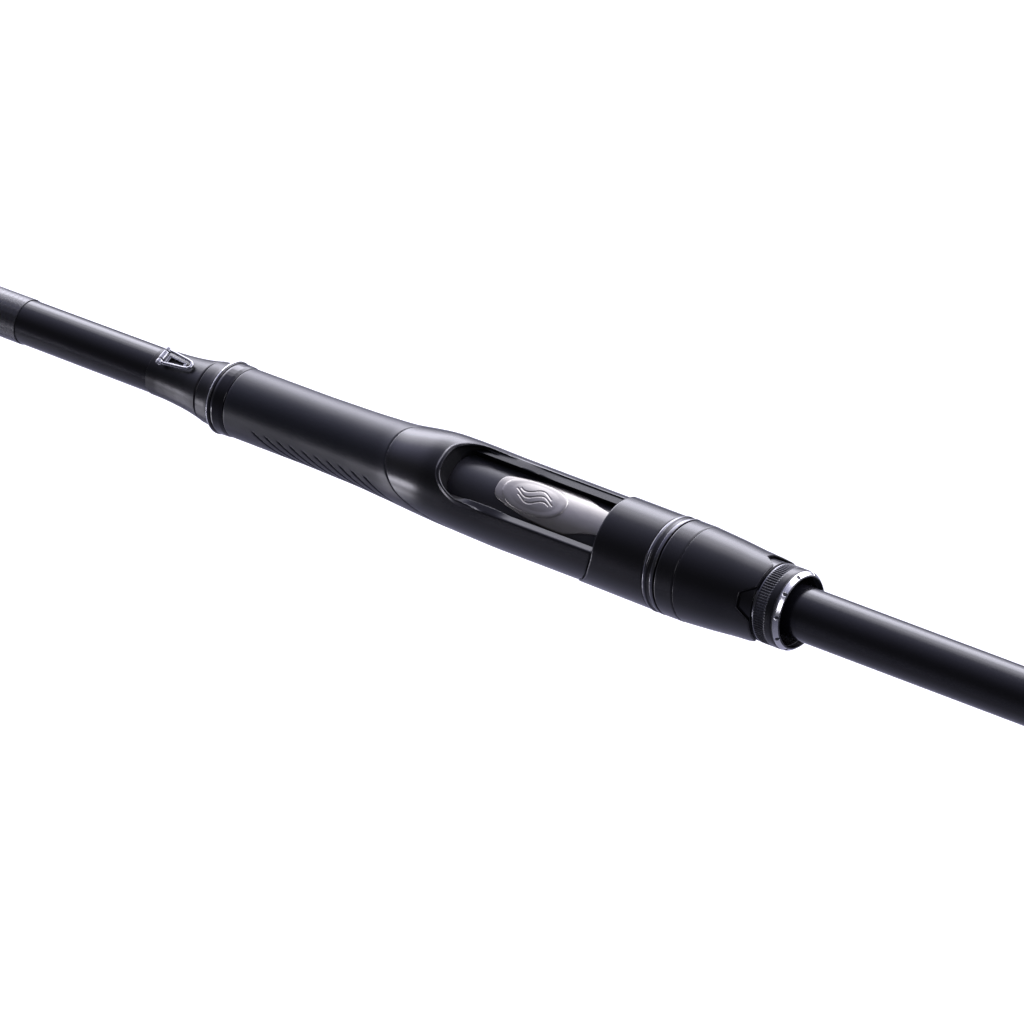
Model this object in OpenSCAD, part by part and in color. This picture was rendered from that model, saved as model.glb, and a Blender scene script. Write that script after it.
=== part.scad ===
// Heavy two-piece spinning rod with a skeleton reel seat.
// Frame: +X runs along the rod from butt to tip, +Z is the upper side; the reel and the guides hang below.
// The origin is the centre of the flat end of the butt cap.

/* [Rod] */
// Length of the assembled rod, butt face to tip ring
rod_len = 1980; // [1900:10:2100]
// Where the tip section starts, over the male end of the butt section
joint_x = 980; // [950:10:1000]
// Length of the male end inside the tip section
joint_len = 70; // [60:5:80]

/* [Handle] */
// Distance from the butt face to the middle of the reel seat
seat_x = 365; // [345:5:400]
// Diameter of the rear grip at its fullest
rear_grip_d = 28; // [26:1:30]
// Length of the rear grip
rear_grip_len = 112; // [100:2:120]
// Diameter of the fore grip at its waist
fore_grip_d = 21.6; // [21.4:0.1:22.4]

/* [Reel seat] */
// Thickest foot end that the hoods take
foot_t = 3; // [2.6:0.1:3]
// Widest reel foot that the bed takes
foot_w = 17.4; // [16:0.2:17.6]
// Grip grooves along each side of the fore grip
grooves = 10; // [6:1:11]
// Flutes round the knurled ring
flutes = 36; // [24:2:48]

/* [Hook keeper] */
// Angle of the hook keeper round the blank, away from the top
keeper_turn = 8; // [0:1:30]

/* [Hidden] */
$fn = 96;
gap = 0.04; // glue line between bonded pieces
run = 0.3; // clearance between moving pieces
hull_fn = 56; // facets of the oval skins

rear_tube_r = 8;
pipe_r = 10.2;
pipe_bore = 8.06;
neck_r = 11.25; // plain neck that the moving hood slides on
rear_grip_r = rear_grip_d / 2;
waist_r = fore_grip_d / 2;
pocket_r = pipe_r + foot_t + 0.1;
pocket_half = foot_w / 2;

// Stations of the reel seat, ahead of its middle
nut_end = -104;
knurl_start = -101.9;
barrel_start = -94.3;
band_start = -68;
band_end = -61.4;
trim_start = -61;
hood_start = -57;
neck_start = -65.4;
tail_start = -66.6;
thread_start = -93.7;
pipe_start = -65;
pipe_end = 66;
mouth = 14; // mouth of the fixed hood
pocket_end = 28;
liner_end = 30;
grip_end = 103.3;
collar_end = 108.1;
ring_end = 109.6;
cone_end = 115.1;
wrap_end = 136;
weave_start = 188;
weave_len = 170;

// Seat thread
pitch = 2.5;
thread_root = 10.55;
thread_crest = 11.25;
nut_root = 11.55;
nut_crest = 10.85;
nut_wall = 12.3;
nut_thread_start = -86;
nut_phase = 360 * ((nut_thread_start - thread_start) / pitch - 0.5); // the ridges mesh half a pitch apart

// Outer skin of the seat as discs: [station, radius, height of the centre]
skin = [[42, 12, 0], [33, 13, 0.9], [26, 13.55, 1.5], [16, 13.8, 1], [2, 13.9, 0.1], [-41, 13.85, -0.1]];
// Fuller underside of the fore grip, round the fixed hood
belly = [[11, 12.2, -2.6], [25, 12.2, -2.6], [33, 11.6, -2.2], [50, 11, -0.3]];
// Moving hood: the round shell and the fuller underside
hood_round = [[-57, 14.45, 0], [-24, 14.3, 0.6]];
hood_belly = [[-56, 13, -1.4], [-24, 12.5, -3]];

// Side outline of the joint between seat body and fore grip, from the top down
seam = [
  [42.6, 16], [42.2, 13], [40.6, 10], [36, 5.5], [28, 1.5],
  [20, -1.2], [15.5, -4.5], [mouth, -8], [mouth, -18]
];
// Side outline of the front edge of the moving hood, from the top down
lip = [[-38.6, 17], [-38.3, 9], [-35.5, 2], [-29.6, -5], [-25, -10], [-24.2, -18]];

// One side of the badge plate, from its front end: [station, half width]
plate_side = [
  [2.7, 1.6], [2.2, 3], [1, 4], [-4.6, 5.4], [-10, 6.4],
  [-18.5, 7], [-25, 7], [-31.5, 4.9], [-36, 4], [-50, 4]
];

// Butt and tip blanks: [x, outer radius]
butt_taper = [[12, 7.2], [290, 7.2], [505, 7.1], [joint_x, 5.5], [joint_x + joint_len, 5.28]];
tip_taper = [[joint_x, 6.4], [joint_x + joint_len, 5.9], [rod_len - 4, 1]];
blank_wall = 1.1;

// Line guides: [x, bore radius, frame radius, drop below the rod axis, foot length]
guides = [
  [860, 9.3, 12.5, 27, 17],
  [1130, 5.7, 8.2, 19, 13],
  [1330, 3.5, 5.4, 13, 10],
  [1500, 2.7, 4.4, 10.2, 9],
  [1650, 2.3, 3.8, 8.4, 8],
  [1780, 2, 3.4, 7, 7],
  [1890, 2, 3.4, 6.2, 7]
];
ceramic = 0.9; // wall of the ceramic rings
foot_r = 0.7;
tip_bore = 2;
tip_drop = 5.2;

// Taper of the wrap ahead of the grip: [station, radius]
wrap_taper = [[117.5, 8.95], [120.5, 8.4], [124, 7.95], [128, 7.6], [132, 7.35]];
// Keeper: stations along the rod and height of its pin
keeper_pin_x = 131.3;
keeper_pin_z = 9.3;
keeper_nose_x = 120.1;
wire_r = 0.5;

function mix(a, b, t) = a + (b - a) * t;
// Radius of a taper at x, from its list of [x, radius]
function taper_r(list, x, i = 0) =
  x <= list[i + 1][0] || i == len(list) - 2
    ? mix(list[i][1], list[i + 1][1], (x - list[i][0]) / (list[i + 1][0] - list[i][0]))
    : taper_r(list, x, i + 1);
function blank_r(x) = x < joint_x ? taper_r(butt_taper, x) : taper_r(tip_taper, x);
function moved(points, dx) = [for (p = points) [p[0] + dx, p[1]]];

// A turned piece from [x, radius] points
module turned(points) {
  rotate([0, 90, 0]) rotate_extrude() polygon([for (p = points) [p[1], p[0]]]);
}

// A tube or cone between two stations
module tube(x0, x1, r0, r1, bore0, bore1) {
  turned([[x0, bore0], [x0, r0], [x1, r1], [x1, bore1]]);
}

// A solid rod between two stations
module solid_rod(x0, x1, r) {
  translate([x0, 0, 0]) rotate([0, 90, 0]) cylinder(r = r, h = x1 - x0);
}

// A block from one corner to the other
module block(a, b) {
  translate(a) cube(b - a);
}

// The skin between two of its discs
module skin_disc(s) {
  translate([s[0], 0, s[2]]) rotate([0, 90, 0]) cylinder(r = s[1], h = 0.01, center = true, $fn = hull_fn);
}
module skin_part(list, i) {
  hull() {
    skin_disc(list[i]);
    skin_disc(list[i + 1]);
  }
}

// A side outline, extruded across the rod
module side_cut(points) {
  rotate([90, 0, 0]) linear_extrude(height = 60, center = true) polygon(points);
}

// An eight-sided bar between two points, a little past each
module bar(a, b, r, past = 0.2) {
  d = b - a;
  u = d / norm(d);
  translate(a - past * u) rotate([0, acos(u[2]), atan2(u[1], u[0])])
    cylinder(r = r, h = norm(d) + 2 * past, $fn = 8);
}

// A bent wire through a list of points
module wire(points, r) {
  for (i = [0:len(points) - 2]) bar(points[i], points[i + 1], r);
}

// A tube with a helical thread on the wall between r_root and r_crest; r_wall is its plain wall
module threaded_tube(x0, turns, r_root, r_crest, r_wall, crest, flank, shift) {
  n = 30;
  m = 4;
  lead_in = n / 3;
  root_half = (pitch - crest) / 2 - flank;
  offsets = [root_half, root_half + flank, root_half + flank + crest, root_half + 2 * flank + crest];
  length = (turns + 1) * pitch;
  steps = turns * n;
  outside = r_wall < r_root;
  function fade(i) = max(0.2, min(1, i / lead_in, (steps - i) / lead_in));
  function row_r(i, k) = k == 1 || k == 2 ? mix(r_root, r_crest, fade(i)) : r_root;
  function spot(i, x, r) = [x, -r * sin(shift + i * 360 / n), r * cos(shift + i * 360 / n)];
  helix = [for (i = [0:steps]) for (k = [0:m - 1]) spot(i, i * pitch / n + offsets[k], row_r(i, k))];
  base = len(helix);
  rims = [[0, r_root], [length, r_root], [0, r_wall], [length, r_wall]];
  ends = [for (e = rims) for (i = [0:n - 1]) spot(i, e[0], e[1])];
  function h(i, k) = i * m + k;
  function sr(i) = base + i % n;
  function er(i) = base + n + i % n;
  function ws(i) = base + 2 * n + i % n;
  function we(i) = base + 3 * n + i % n;
  back = steps - n;
  ridge = [
    for (i = [0:steps - 1]) for (k = [0:m - 2]) [h(i, k), h(i, k + 1), h(i + 1, k + 1), h(i + 1, k)]
  ];
  groove = [for (i = [0:back - 1]) [h(i, 3), h(i + n, 0), h(i + n + 1, 0), h(i + 1, 3)]];
  first = [for (i = [0:n - 2]) [sr(i), h(i, 0), h(i + 1, 0), sr(i + 1)]];
  first_join = [
    [h(n - 1, 0), h(n, 0), h(0, 3), h(0, 0), sr(0), sr(n - 1)], [h(0, 0), h(0, 3), h(0, 2), h(0, 1)]
  ];
  last = [for (i = [1:n - 1]) [h(back + i, 3), er(i), er(i + 1), h(back + i + 1, 3)]];
  last_join = [
    [h(back + 1, 3), h(back, 3), h(steps, 0), h(steps, 3), er(0), er(1)], [for (k = [0:3]) h(steps, k)]
  ];
  caps = [for (i = [0:n - 1]) each [
    [sr(i), sr(i + 1), ws(i + 1), ws(i)], [er(i + 1), er(i), we(i), we(i + 1)],
    [ws(i), ws(i + 1), we(i + 1), we(i)]
  ]];
  faces = concat(ridge, groove, first, first_join, last, last_join, caps);
  triangles = [for (f = faces) for (j = [1:len(f) - 2]) [f[0], f[j], f[j + 1]]];
  translate([x0, 0, 0]) polyhedron(
    points = concat(helix, ends),
    faces = [for (f = triangles) outside ? f : [f[2], f[1], f[0]]],
    convexity = 10
  );
}

// Rear end of the handle
module butt_cap() {
  color("DimGray") difference() {
    turned([[0, 0], [0, 14], [14, 14], [14, 0]]);
    solid_rod(6, 15, rear_tube_r + gap);
  }
}
module butt_trim_ring() {
  color("Silver") tube(14 + gap, 16, 14.1, 14.1, rear_tube_r + gap, rear_tube_r + gap);
}
module rear_grip() {
  x0 = 16 + gap;
  x1 = x0 + rear_grip_len;
  r = rear_grip_r;
  b = rear_tube_r + gap;
  color("DarkSlateGray") turned([
    [x0, b], [x0, 13.8], [x0 + 8, r], [x0 + 34, r - 0.5], [x0 + 64, r - 2.3],
    [x1 - 26, r - 3.4], [x1 - 10, r - 3.1], [x1 - 4, r - 3.6], [x1, 9.6], [x1, b]
  ]);
}
module rear_grip_ring() {
  x0 = 16 + rear_grip_len + 2 * gap;
  b = rear_tube_r + gap;
  color("Silver") turned([[x0, b], [x0, 9.6], [x0 + 1.4, 9.6], [x0 + 3, 8.7], [x0 + 3, b]]);
}
module rear_tube() {
  color("MidnightBlue") tube(6 + gap, seat_x - 47, rear_tube_r, rear_tube_r, 7.26, 7.26);
}
module butt_blank() {
  outer = butt_taper;
  inner = [for (i = [len(butt_taper) - 1:-1:0]) [butt_taper[i][0], butt_taper[i][1] - blank_wall]];
  color("Black") turned(concat(outer, inner));
}

// Fixed parts of the reel seat
// A round-bottomed wedge below the pipe, from x0 to x1, up to the height top
module wedge(x0, x1, r0, r1, half0, half1, top) {
  intersection() {
    turned([[x0, 0], [x0, r0], [x1, r1], [x1, 0]]);
    translate([0, 0, -20]) linear_extrude(height = 20 + top)
      polygon([[x0, -half0], [x1, -half1], [x1, half1], [x0, half0]]);
  }
}
module liner_block(grow) {
  wedge(
    mouth + gap - grow, liner_end + grow, pocket_r + 0.5 + grow, pocket_r - 0.3 + grow,
    pocket_half + 0.6 + grow, pocket_half - 1.3 + grow, -3.5 + grow
  );
}
module seat_pipe() {
  color("Gray") tube(seat_x + pipe_start, seat_x + pipe_end, pipe_r, pipe_r, pipe_bore, pipe_bore);
}
module threaded_barrel() {
  color("DimGray") threaded_tube(seat_x + thread_start, 10, thread_root, thread_crest, 8.12, 0.6, 0.45, 0);
}
module pipe_bushings() {
  color("Tan") for (x = [seat_x - 12, seat_x + 42])
    tube(x, x + 12, pipe_bore - gap, pipe_bore - gap, blank_r(x) + gap, blank_r(x) + gap);
}
module window_cut() {
  intersection() {
    linear_extrude(height = 20) hull() {
      translate([14.5, 3.6]) circle(r = 6.3);
      translate([14.5, -3.6]) circle(r = 6.3);
      translate([-60, -9.9]) square([1, 19.8]);
    }
    rotate([90, 0, 90]) translate([0, 0, -60]) linear_extrude(height = 100)
      polygon([
        [-7.4, 7.1], [7.4, 7.1], [7.4, 8.9], [9.9, 9.8], [9.9, 19], [-9.9, 19], [-9.9, 9.8], [-7.4, 8.9]
      ]);
  }
}
module key_slots(half, floor_r, x0, x1) {
  for (s = [-1, 1]) translate([x0, s * (floor_r + 2) - 2, -half]) cube([x1 - x0, 4, 2 * half]);
}
module seat_body() {
  color("DimGray") translate([seat_x, 0, 0]) difference() {
    union() {
      intersection() {
        union() {
          for (i = [0:len(skin) - 2]) skin_part(skin, i);
        }
        side_cut(concat(
          moved(lip, 0.4), [[mouth - gap, -18]], [for (i = [7:-1:0]) seam[i] - [gap, 0]], [[42, 17]]
        ));
      }
      solid_rod(neck_start, -26, neck_r);
    }
    solid_rod(-80, 60, pipe_r + gap);
    window_cut();
    block([-60, -pocket_half - 0.3, -20], [mouth + 2, pocket_half + 0.3, 0]);
    liner_block(gap);
    key_slots(2, 10.42, -80, -38);
  }
}
module pocket(r, half, x0, x1) {
  intersection() {
    solid_rod(x0, x1, r);
    block([x0, -half, -20], [x1, half, 0]);
  }
}
module fixed_hood_liner() {
  color("Silver") translate([seat_x, 0, 0]) difference() {
    liner_block(0);
    solid_rod(0, 60, pipe_r + gap);
    wedge(mouth - 1, pocket_end, pocket_r, pocket_r - 0.8, pocket_half, pocket_half - 1.8, 0);
  }
}
module badge_plate() {
  color("Silver") translate([seat_x, 0, 0]) difference() {
    union() {
      intersection() {
        solid_rod(-50, 4, pipe_r + 0.55);
        linear_extrude(height = 20) polygon(concat(
          plate_side, [for (i = [len(plate_side) - 1:-1:0]) [plate_side[i][0], -plate_side[i][1]]]
        ));
      }
      intersection() {
        solid_rod(-23, 4, pipe_r + 0.85);
        linear_extrude(height = 20) translate([-11.2, 0]) scale([2.1, 1]) circle(r = 5.4);
      }
    }
    solid_rod(-60, 60, pipe_r + gap);
  }
}

// Fore grip, with slanting finger grooves low on each side
module grip_groove(i, side) {
  x = 46 + i * 4.8 * (54 / (grooves * 4.8 + 6));
  translate([x, side * (waist_r + 1.1), -1.5]) rotate([side * 34, -26, 0]) translate([0, 0, -4.4])
    cylinder(r = 1.6, h = 8.8, $fn = 8);
}
module fore_grip() {
  w = waist_r;
  color("DarkSlateGray") translate([seat_x, 0, 0]) difference() {
    union() {
      for (i = [0:3]) skin_part(skin, i);
      for (i = [0:len(belly) - 2]) skin_part(belly, i);
      turned([
        [30, 0], [30, 11], [42.5, 11.85], [56, w + 0.5], [74, w + 0.1], [96, w],
        [grip_end - 1, w], [grip_end, w - 0.6], [grip_end, 0]
      ]);
    }
    side_cut(concat(
      [[-20, 18], [-20, -20], [mouth, -20]], [for (i = [len(seam) - 1:-1:0]) seam[i]], [[42.6, 18]]
    ));
    solid_rod(0, pipe_end + gap, pipe_r + gap);
    solid_rod(50, 120, blank_r(seat_x + pipe_end) + gap);
    liner_block(gap);
    for (i = [0:grooves - 1]) for (side = [-1, 1]) grip_groove(i, side);
  }
}
module front_collar() {
  b = blank_r(seat_x + grip_end) + gap;
  color("Black") translate([seat_x, 0, 0]) turned([
    [grip_end + gap, b], [grip_end + gap, waist_r - 0.2], [grip_end + 1, waist_r + 0.25],
    [collar_end - 1, waist_r + 0.35], [collar_end, waist_r + 0.1], [collar_end, b]
  ]);
}
module front_trim_ring() {
  b = blank_r(seat_x + grip_end) + gap;
  color("Silver") translate([seat_x, 0, 0]) turned([
    [collar_end + gap, b], [collar_end + gap, 11.2], [collar_end + 0.5, 11.45],
    [ring_end - 0.4, 11.45], [ring_end, 11], [ring_end, b]
  ]);
}
module front_cone() {
  b = blank_r(seat_x + ring_end) + gap;
  color("Black") translate([seat_x, 0, 0]) turned([
    [ring_end + gap, b], [ring_end + gap, 10.4], [ring_end + 1.4, 10.1],
    [ring_end + 3.9, 9.75], [cone_end, 9.55], [cone_end, b]
  ]);
}
module taper_wrap() {
  b = blank_r(seat_x + cone_end) + gap;
  ends = [[wrap_end, b + 0.15], [wrap_end, b]];
  color("Black") turned([
    for (p = concat([[cone_end + gap, b], [cone_end + gap, 9.45]], wrap_taper, ends)) [seat_x + p[0], p[1]]
  ]);
}

// Folding hook keeper
module keeper_frame() {
  rotate([keeper_turn, 0, 0]) translate([seat_x, 0, 0]) children();
}
module keeper_base() {
  x = keeper_pin_x;
  color("Silver") difference() {
    keeper_frame() difference() {
      union() {
        translate([0, 0, 6]) linear_extrude(height = 2.5)
          polygon([
            [x + 1.2, 1.5], [x - 1.8, 1.5], [keeper_nose_x + 3, 0.95],
            [keeper_nose_x + 3, -0.95], [x - 1.8, -1.5], [x + 1.2, -1.5]
          ]);
        block([x - 1.1, -1.5, 6], [x + 1.1, 1.5, keeper_pin_z]);
        translate([x, 0, keeper_pin_z]) rotate([90, 0, 0]) cylinder(r = 1.1, h = 3, center = true);
      }
      block([keeper_nose_x + 4.2, -0.6, 5], [x - 2.4, 0.6, 10]);
      translate([x, 0, keeper_pin_z]) rotate([90, 0, 0]) cylinder(r = 0.5, h = 12, center = true);
    }
    translate([seat_x, 0, 0]) turned(concat(
      [[100, 0], [100, 9.5], [115, 9.5]], [for (p = wrap_taper) [p[0], p[1] + gap]],
      [[wrap_end, 7.3], [wrap_end + 0.1, 7.15], [150, 7.15], [150, 0]]
    ));
  }
}
module keeper_pin() {
  color("Gray") keeper_frame() translate([keeper_pin_x, 0, keeper_pin_z]) rotate([90, 0, 0])
    cylinder(r = 0.5 - gap / 2, h = 6.2, center = true);
}
module keeper_loop() {
  x = keeper_pin_x;
  z = keeper_pin_z;
  nose = keeper_nose_x + wire_r;
  half = [[x, 2.4], [x - 2, 2.4], [nose + 2.4, 1.6], [nose + 0.8, 1.25], [nose + 0.1, 0.5]];
  path = [for (s = [1, -1]) for (i = [0:4]) let (p = half[s > 0 ? i : 4 - i]) [p[0], s * p[1], z]];
  color("Silver") keeper_frame() difference() {
    union() {
      wire(path, wire_r);
      for (s = [-1, 1]) translate([x, s * 2.4, z]) rotate([90, 0, 0])
        cylinder(r = 1.05, h = 1.3, center = true);
    }
    translate([x, 0, z]) rotate([90, 0, 0]) cylinder(r = 0.56, h = 12, center = true);
  }
}

// Moving hood
module moving_hood() {
  inner = neck_r + run;
  color("DimGray") translate([seat_x, 0, 0]) {
    difference() {
      union() {
        intersection() {
          union() {
            skin_part(hood_round, 0);
            skin_part(hood_belly, 0);
          }
          side_cut(concat(lip, [[-58, -18], [-58, 17]]));
        }
        solid_rod(tail_start, -50, 12.6);
      }
      solid_rod(-80, 0, inner);
      pocket(pocket_r + 0.1, pocket_half + 0.3, -41, 0);
      pocket(pocket_r + 0.9, 7, -40, -25.4);
      tube(-65.6, -64, 14, 14, 12.2, 12.2);
    }
    intersection() {
      difference() {
        solid_rod(-46, -39, 12);
        solid_rod(-80, 0, 10.75);
      }
      union() {
        for (s = [-1, 1]) translate([-42.3, s * 11.2, 0]) cube([7, 2.2, 3.2], center = true);
      }
    }
  }
}
module hood_cushion() {
  color("DarkSlateGray") translate([seat_x, 0, 0]) difference() {
    pocket(pocket_r + 0.9 - gap, 7 - gap, -40 + gap, -25.4 - gap);
    solid_rod(-60, 0, pocket_r + 0.1);
  }
}
module hood_trim_ring() {
  color("Silver") translate([seat_x, 0, 0]) turned([
    [-61, 12.64], [-61, 14.5], [-60.6, 14.7], [-60, 14.7],
    [-59.6, 14.2], [-58.4, 14.2], [-58, 14.7], [-57.5, 14.7],
    [-57 - gap, 14.5], [-57 - gap, 12.64]
  ]);
}
module hood_snap_ring() {
  color("Gray") translate([seat_x, 0, 0]) difference() {
    tube(-65.56, -64.04, 13.25, 13.25, 12.24, 12.24);
    block([-70, -2, 10], [-60, 2, 16]);
  }
}

// Locking nut
module nut_band() {
  color("Black") translate([seat_x, 0, 0]) turned([
    [band_start + gap, nut_wall + gap], [band_start + gap, 14.4], [band_start + 0.4, 14.6],
    [band_end - 0.4, 14.6],
    [band_end, 14.4], [band_end, 12.95], [-63.6, 12.95], [-63.6, 13.6],
    [-66, 13.6], [-66, 12.95], [-67, 12.95],
    [-67.6, nut_wall + gap]
  ]);
}
module nut_barrel() {
  b = nut_wall + gap;
  notch = [[-1.6, -6], [0, -5], [4.5, -2.3], [4.5, 2.3], [0, 5], [-1.6, 6]];
  color("DimGray") translate([seat_x, 0, 0]) difference() {
    turned([
      [barrel_start, 12.04], [barrel_start, 12.5], [barrel_start + 0.5, 12.75], [-86, 13.2], [-78, 13.9],
      [band_start - 0.5, 14.55], [band_start, 14.3], [band_start, b], [-86, b], [-86, 12.04]
    ]);
    for (a = [0:3]) rotate([a * 90 - 36.5, 0, 0]) linear_extrude(height = 20)
      polygon(moved(notch, barrel_start));
  }
}
module nut_core() {
  color("Black") translate([seat_x, 0, 0]) tube(barrel_start, -86 - gap, 12, 12, nut_root, nut_root);
}
module nut_thread() {
  x0 = seat_x + nut_thread_start;
  color("Black") threaded_tube(x0, 6, nut_root, nut_crest, nut_wall, 0.5, 0.45, nut_phase);
}
module knurled_ring() {
  color("DimGray") translate([seat_x, 0, 0]) difference() {
    turned([
      [knurl_start + gap, 10.7], [knurl_start + gap, 12], [knurl_start + 0.6, 12.1],
      [barrel_start - 0.9, 12.1],
      [barrel_start - 0.6, 11.6], [barrel_start - gap, 11.6], [barrel_start - gap, 10.7]
    ]);
    for (i = [0:flutes - 1]) rotate([i * 360 / flutes, 0, 0])
      translate([knurl_start + 0.9, 0, 12.25]) rotate([0, 90, 0]) cylinder(r = 0.42, h = 5.2, $fn = 8);
  }
}
module nut_bezel() {
  color("Silver") translate([seat_x, 0, 0]) turned([
    [nut_end, 10.7], [nut_end, 11], [nut_end + 1.2, 11.95], [knurl_start, 12], [knurl_start, 10.7]
  ]);
}

// Blank trim
module woven_sleeve() {
  x0 = seat_x + weave_start;
  x1 = x0 + weave_len;
  r0 = blank_r(x0);
  r1 = blank_r(x1);
  color("Black") tube(x0, x1, r0 + 0.25, r1 + 0.25, r0 + 0.02, r1 + 0.02);
}

// Line guides. Each hangs below the blank on two or three legs, its feet bound to the blank.
function two_feet(i) = i < 3;
function foot_start(g) = g[2] * 0.55 + 1;
function foot_z(x) = -(blank_r(x) + foot_r + 0.06);
module foot_bar(g, side, r) {
  a = g[0] + side * foot_start(g);
  b = a + side * g[4];
  bar([a, 0, foot_z(a)], [b, 0, foot_z(b)], r);
}
module guide_frame(i) {
  g = guides[i];
  inner = g[1] + ceramic + 0.02;
  mid = (inner + g[2]) / 2;
  color("Gray") difference() {
    union() {
      translate([g[0], 0, -g[3]]) turned([
        [-0.9, inner], [-0.9, g[2] - 0.3], [-0.5, g[2]], [0.5, g[2]], [0.9, g[2] - 0.3], [0.9, inner]
      ]);
      for (side = two_feet(i) ? [-1, 1] : [-1]) {
        a = g[0] + side * foot_start(g);
        foot_bar(g, side, foot_r);
        for (y = [-1, 1])
          bar([a, 0, foot_z(a)], [g[0], y * mid * sin(52), -g[3] + mid * cos(52)], foot_r - 0.06, 0.35);
      }
    }
    translate([g[0] - 20, 0, -g[3]]) rotate([0, 90, 0]) cylinder(r = inner, h = 40);
  }
}
module ceramic_ring(x, z, bore) {
  color("DarkSlateGray") translate([x, 0, z]) turned([
    [-0.5, bore], [-0.9, bore + 0.25], [-1.1, bore + 0.55], [-0.9, bore + ceramic],
    [0.9, bore + ceramic], [1.1, bore + 0.55], [0.9, bore + 0.25], [0.5, bore]
  ]);
}
module guide_ring(i) {
  ceramic_ring(guides[i][0], -guides[i][3], guides[i][1]);
}
module wrap(i, side) {
  g = guides[i];
  a = g[0] + side * (foot_start(g) + 2);
  b = g[0] + side * (foot_start(g) + g[4] + 3);
  x0 = min(a, b);
  x1 = max(a, b);
  z = foot_z((x0 + x1) / 2);
  color("Black") difference() {
    translate([x0, 0, 0]) rotate([0, 90, 0]) linear_extrude(height = x1 - x0) hull() {
      circle(r = blank_r(x0) + 0.4, $fn = 36);
      translate([-z, 0]) circle(r = foot_r + 0.35, $fn = 18);
    }
    turned([
      [x0 - 1, 0], [x0 - 1, blank_r(x0 - 1) + gap], [x1 + 1, blank_r(x1 + 1) + gap], [x1 + 1, 0]
    ], $fn = 36);
    foot_bar(g, side, foot_r + 0.05);
    block([x0 - 1, -0.5, z], [x1 + 1, 0.5, 0]);
  }
}
module butt_wraps() {
  for (side = [-1, 1]) wrap(0, side);
}
module tip_wraps() {
  for (i = [1:len(guides) - 1]) for (side = two_feet(i) ? [-1, 1] : [-1]) wrap(i, side);
}

// Tip section
module tip_blank() {
  step_x = joint_x + joint_len + 2;
  end_x = rod_len - 4;
  r_step = taper_r(tip_taper, step_x);
  color("Black") turned([
    [joint_x, butt_taper[3][1] + 0.05], [joint_x, tip_taper[0][1]],
    [joint_x + joint_len, tip_taper[1][1]], [end_x, 1],
    [end_x, 0.4], [step_x + 0.4, r_step - blank_wall - 0.1], [step_x, butt_taper[4][1] + 0.05]
  ]);
}
module ferrule_ring() {
  x1 = joint_x + 4;
  color("Silver") tube(joint_x, x1, 7, 6.9, blank_r(joint_x) + gap, blank_r(joint_x) + gap);
}
module ferrule_wrap() {
  x0 = joint_x + 4 + gap;
  x1 = joint_x + 34;
  color("Black") turned([
    [x0, blank_r(x0) + gap], [x0, 6.85], [x1 - 3, blank_r(x1) + 0.45],
    [x1, blank_r(x1) + 0.15], [x1, blank_r(x1) + gap]
  ]);
}
module tip_top_frame() {
  inner = tip_bore + ceramic + 0.02;
  r = inner + 0.8;
  x = rod_len - 1;
  color("Gray") difference() {
    union() {
      tube(rod_len - 16, rod_len - 2.4, 1.9, 1.8, 0, 0);
      translate([x, 0, -tip_drop])
        turned([[-0.9, 0], [-0.9, r - 0.2], [-0.6, r], [0.6, r], [0.9, r - 0.2], [0.9, 0]]);
      bar([rod_len - 3.4, 0, -0.6], [x - 0.1, 0, -tip_drop + r - 0.5], 0.75);
      for (y = [-1, 1]) bar([rod_len - 11, y * 0.6, -1.2], [x - 0.1, y * (r - 0.5), -tip_drop], 0.55);
    }
    tube(rod_len - 17, rod_len - 4 + gap, 1.07, 1 + gap, 0, 0);
    translate([rod_len - 30, 0, -tip_drop]) rotate([0, 90, 0]) cylinder(r = inner, h = 40);
  }
}
module tip_top_ring() {
  ceramic_ring(rod_len - 1, -tip_drop, tip_bore);
}

butt_cap();
butt_trim_ring();
rear_grip();
rear_grip_ring();
rear_tube();
butt_blank();
seat_pipe();
threaded_barrel();
pipe_bushings();
seat_body();
fixed_hood_liner();
badge_plate();
fore_grip();
front_collar();
front_trim_ring();
front_cone();
taper_wrap();
keeper_base();
keeper_pin();
keeper_loop();
moving_hood();
hood_cushion();
hood_trim_ring();
hood_snap_ring();
nut_band();
nut_barrel();
nut_core();
nut_thread();
knurled_ring();
nut_bezel();
woven_sleeve();
guide_frame(0);  // guide_1_frame
guide_ring(0);  // guide_1_ring
butt_wraps();
tip_blank();
ferrule_ring();
ferrule_wrap();
guide_frame(1);  // guide_2_frame
guide_ring(1);  // guide_2_ring
guide_frame(2);  // guide_3_frame
guide_ring(2);  // guide_3_ring
guide_frame(3);  // guide_4_frame
guide_ring(3);  // guide_4_ring
guide_frame(4);  // guide_5_frame
guide_ring(4);  // guide_5_ring
guide_frame(5);  // guide_6_frame
guide_ring(5);  // guide_6_ring
guide_frame(6);  // guide_7_frame
guide_ring(6);  // guide_7_ring
tip_wraps();
tip_top_frame();
tip_top_ring();
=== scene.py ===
import math
from types import SimpleNamespace

import bmesh
import bpy
import numpy as np
from mathutils import Matrix, Vector


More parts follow.
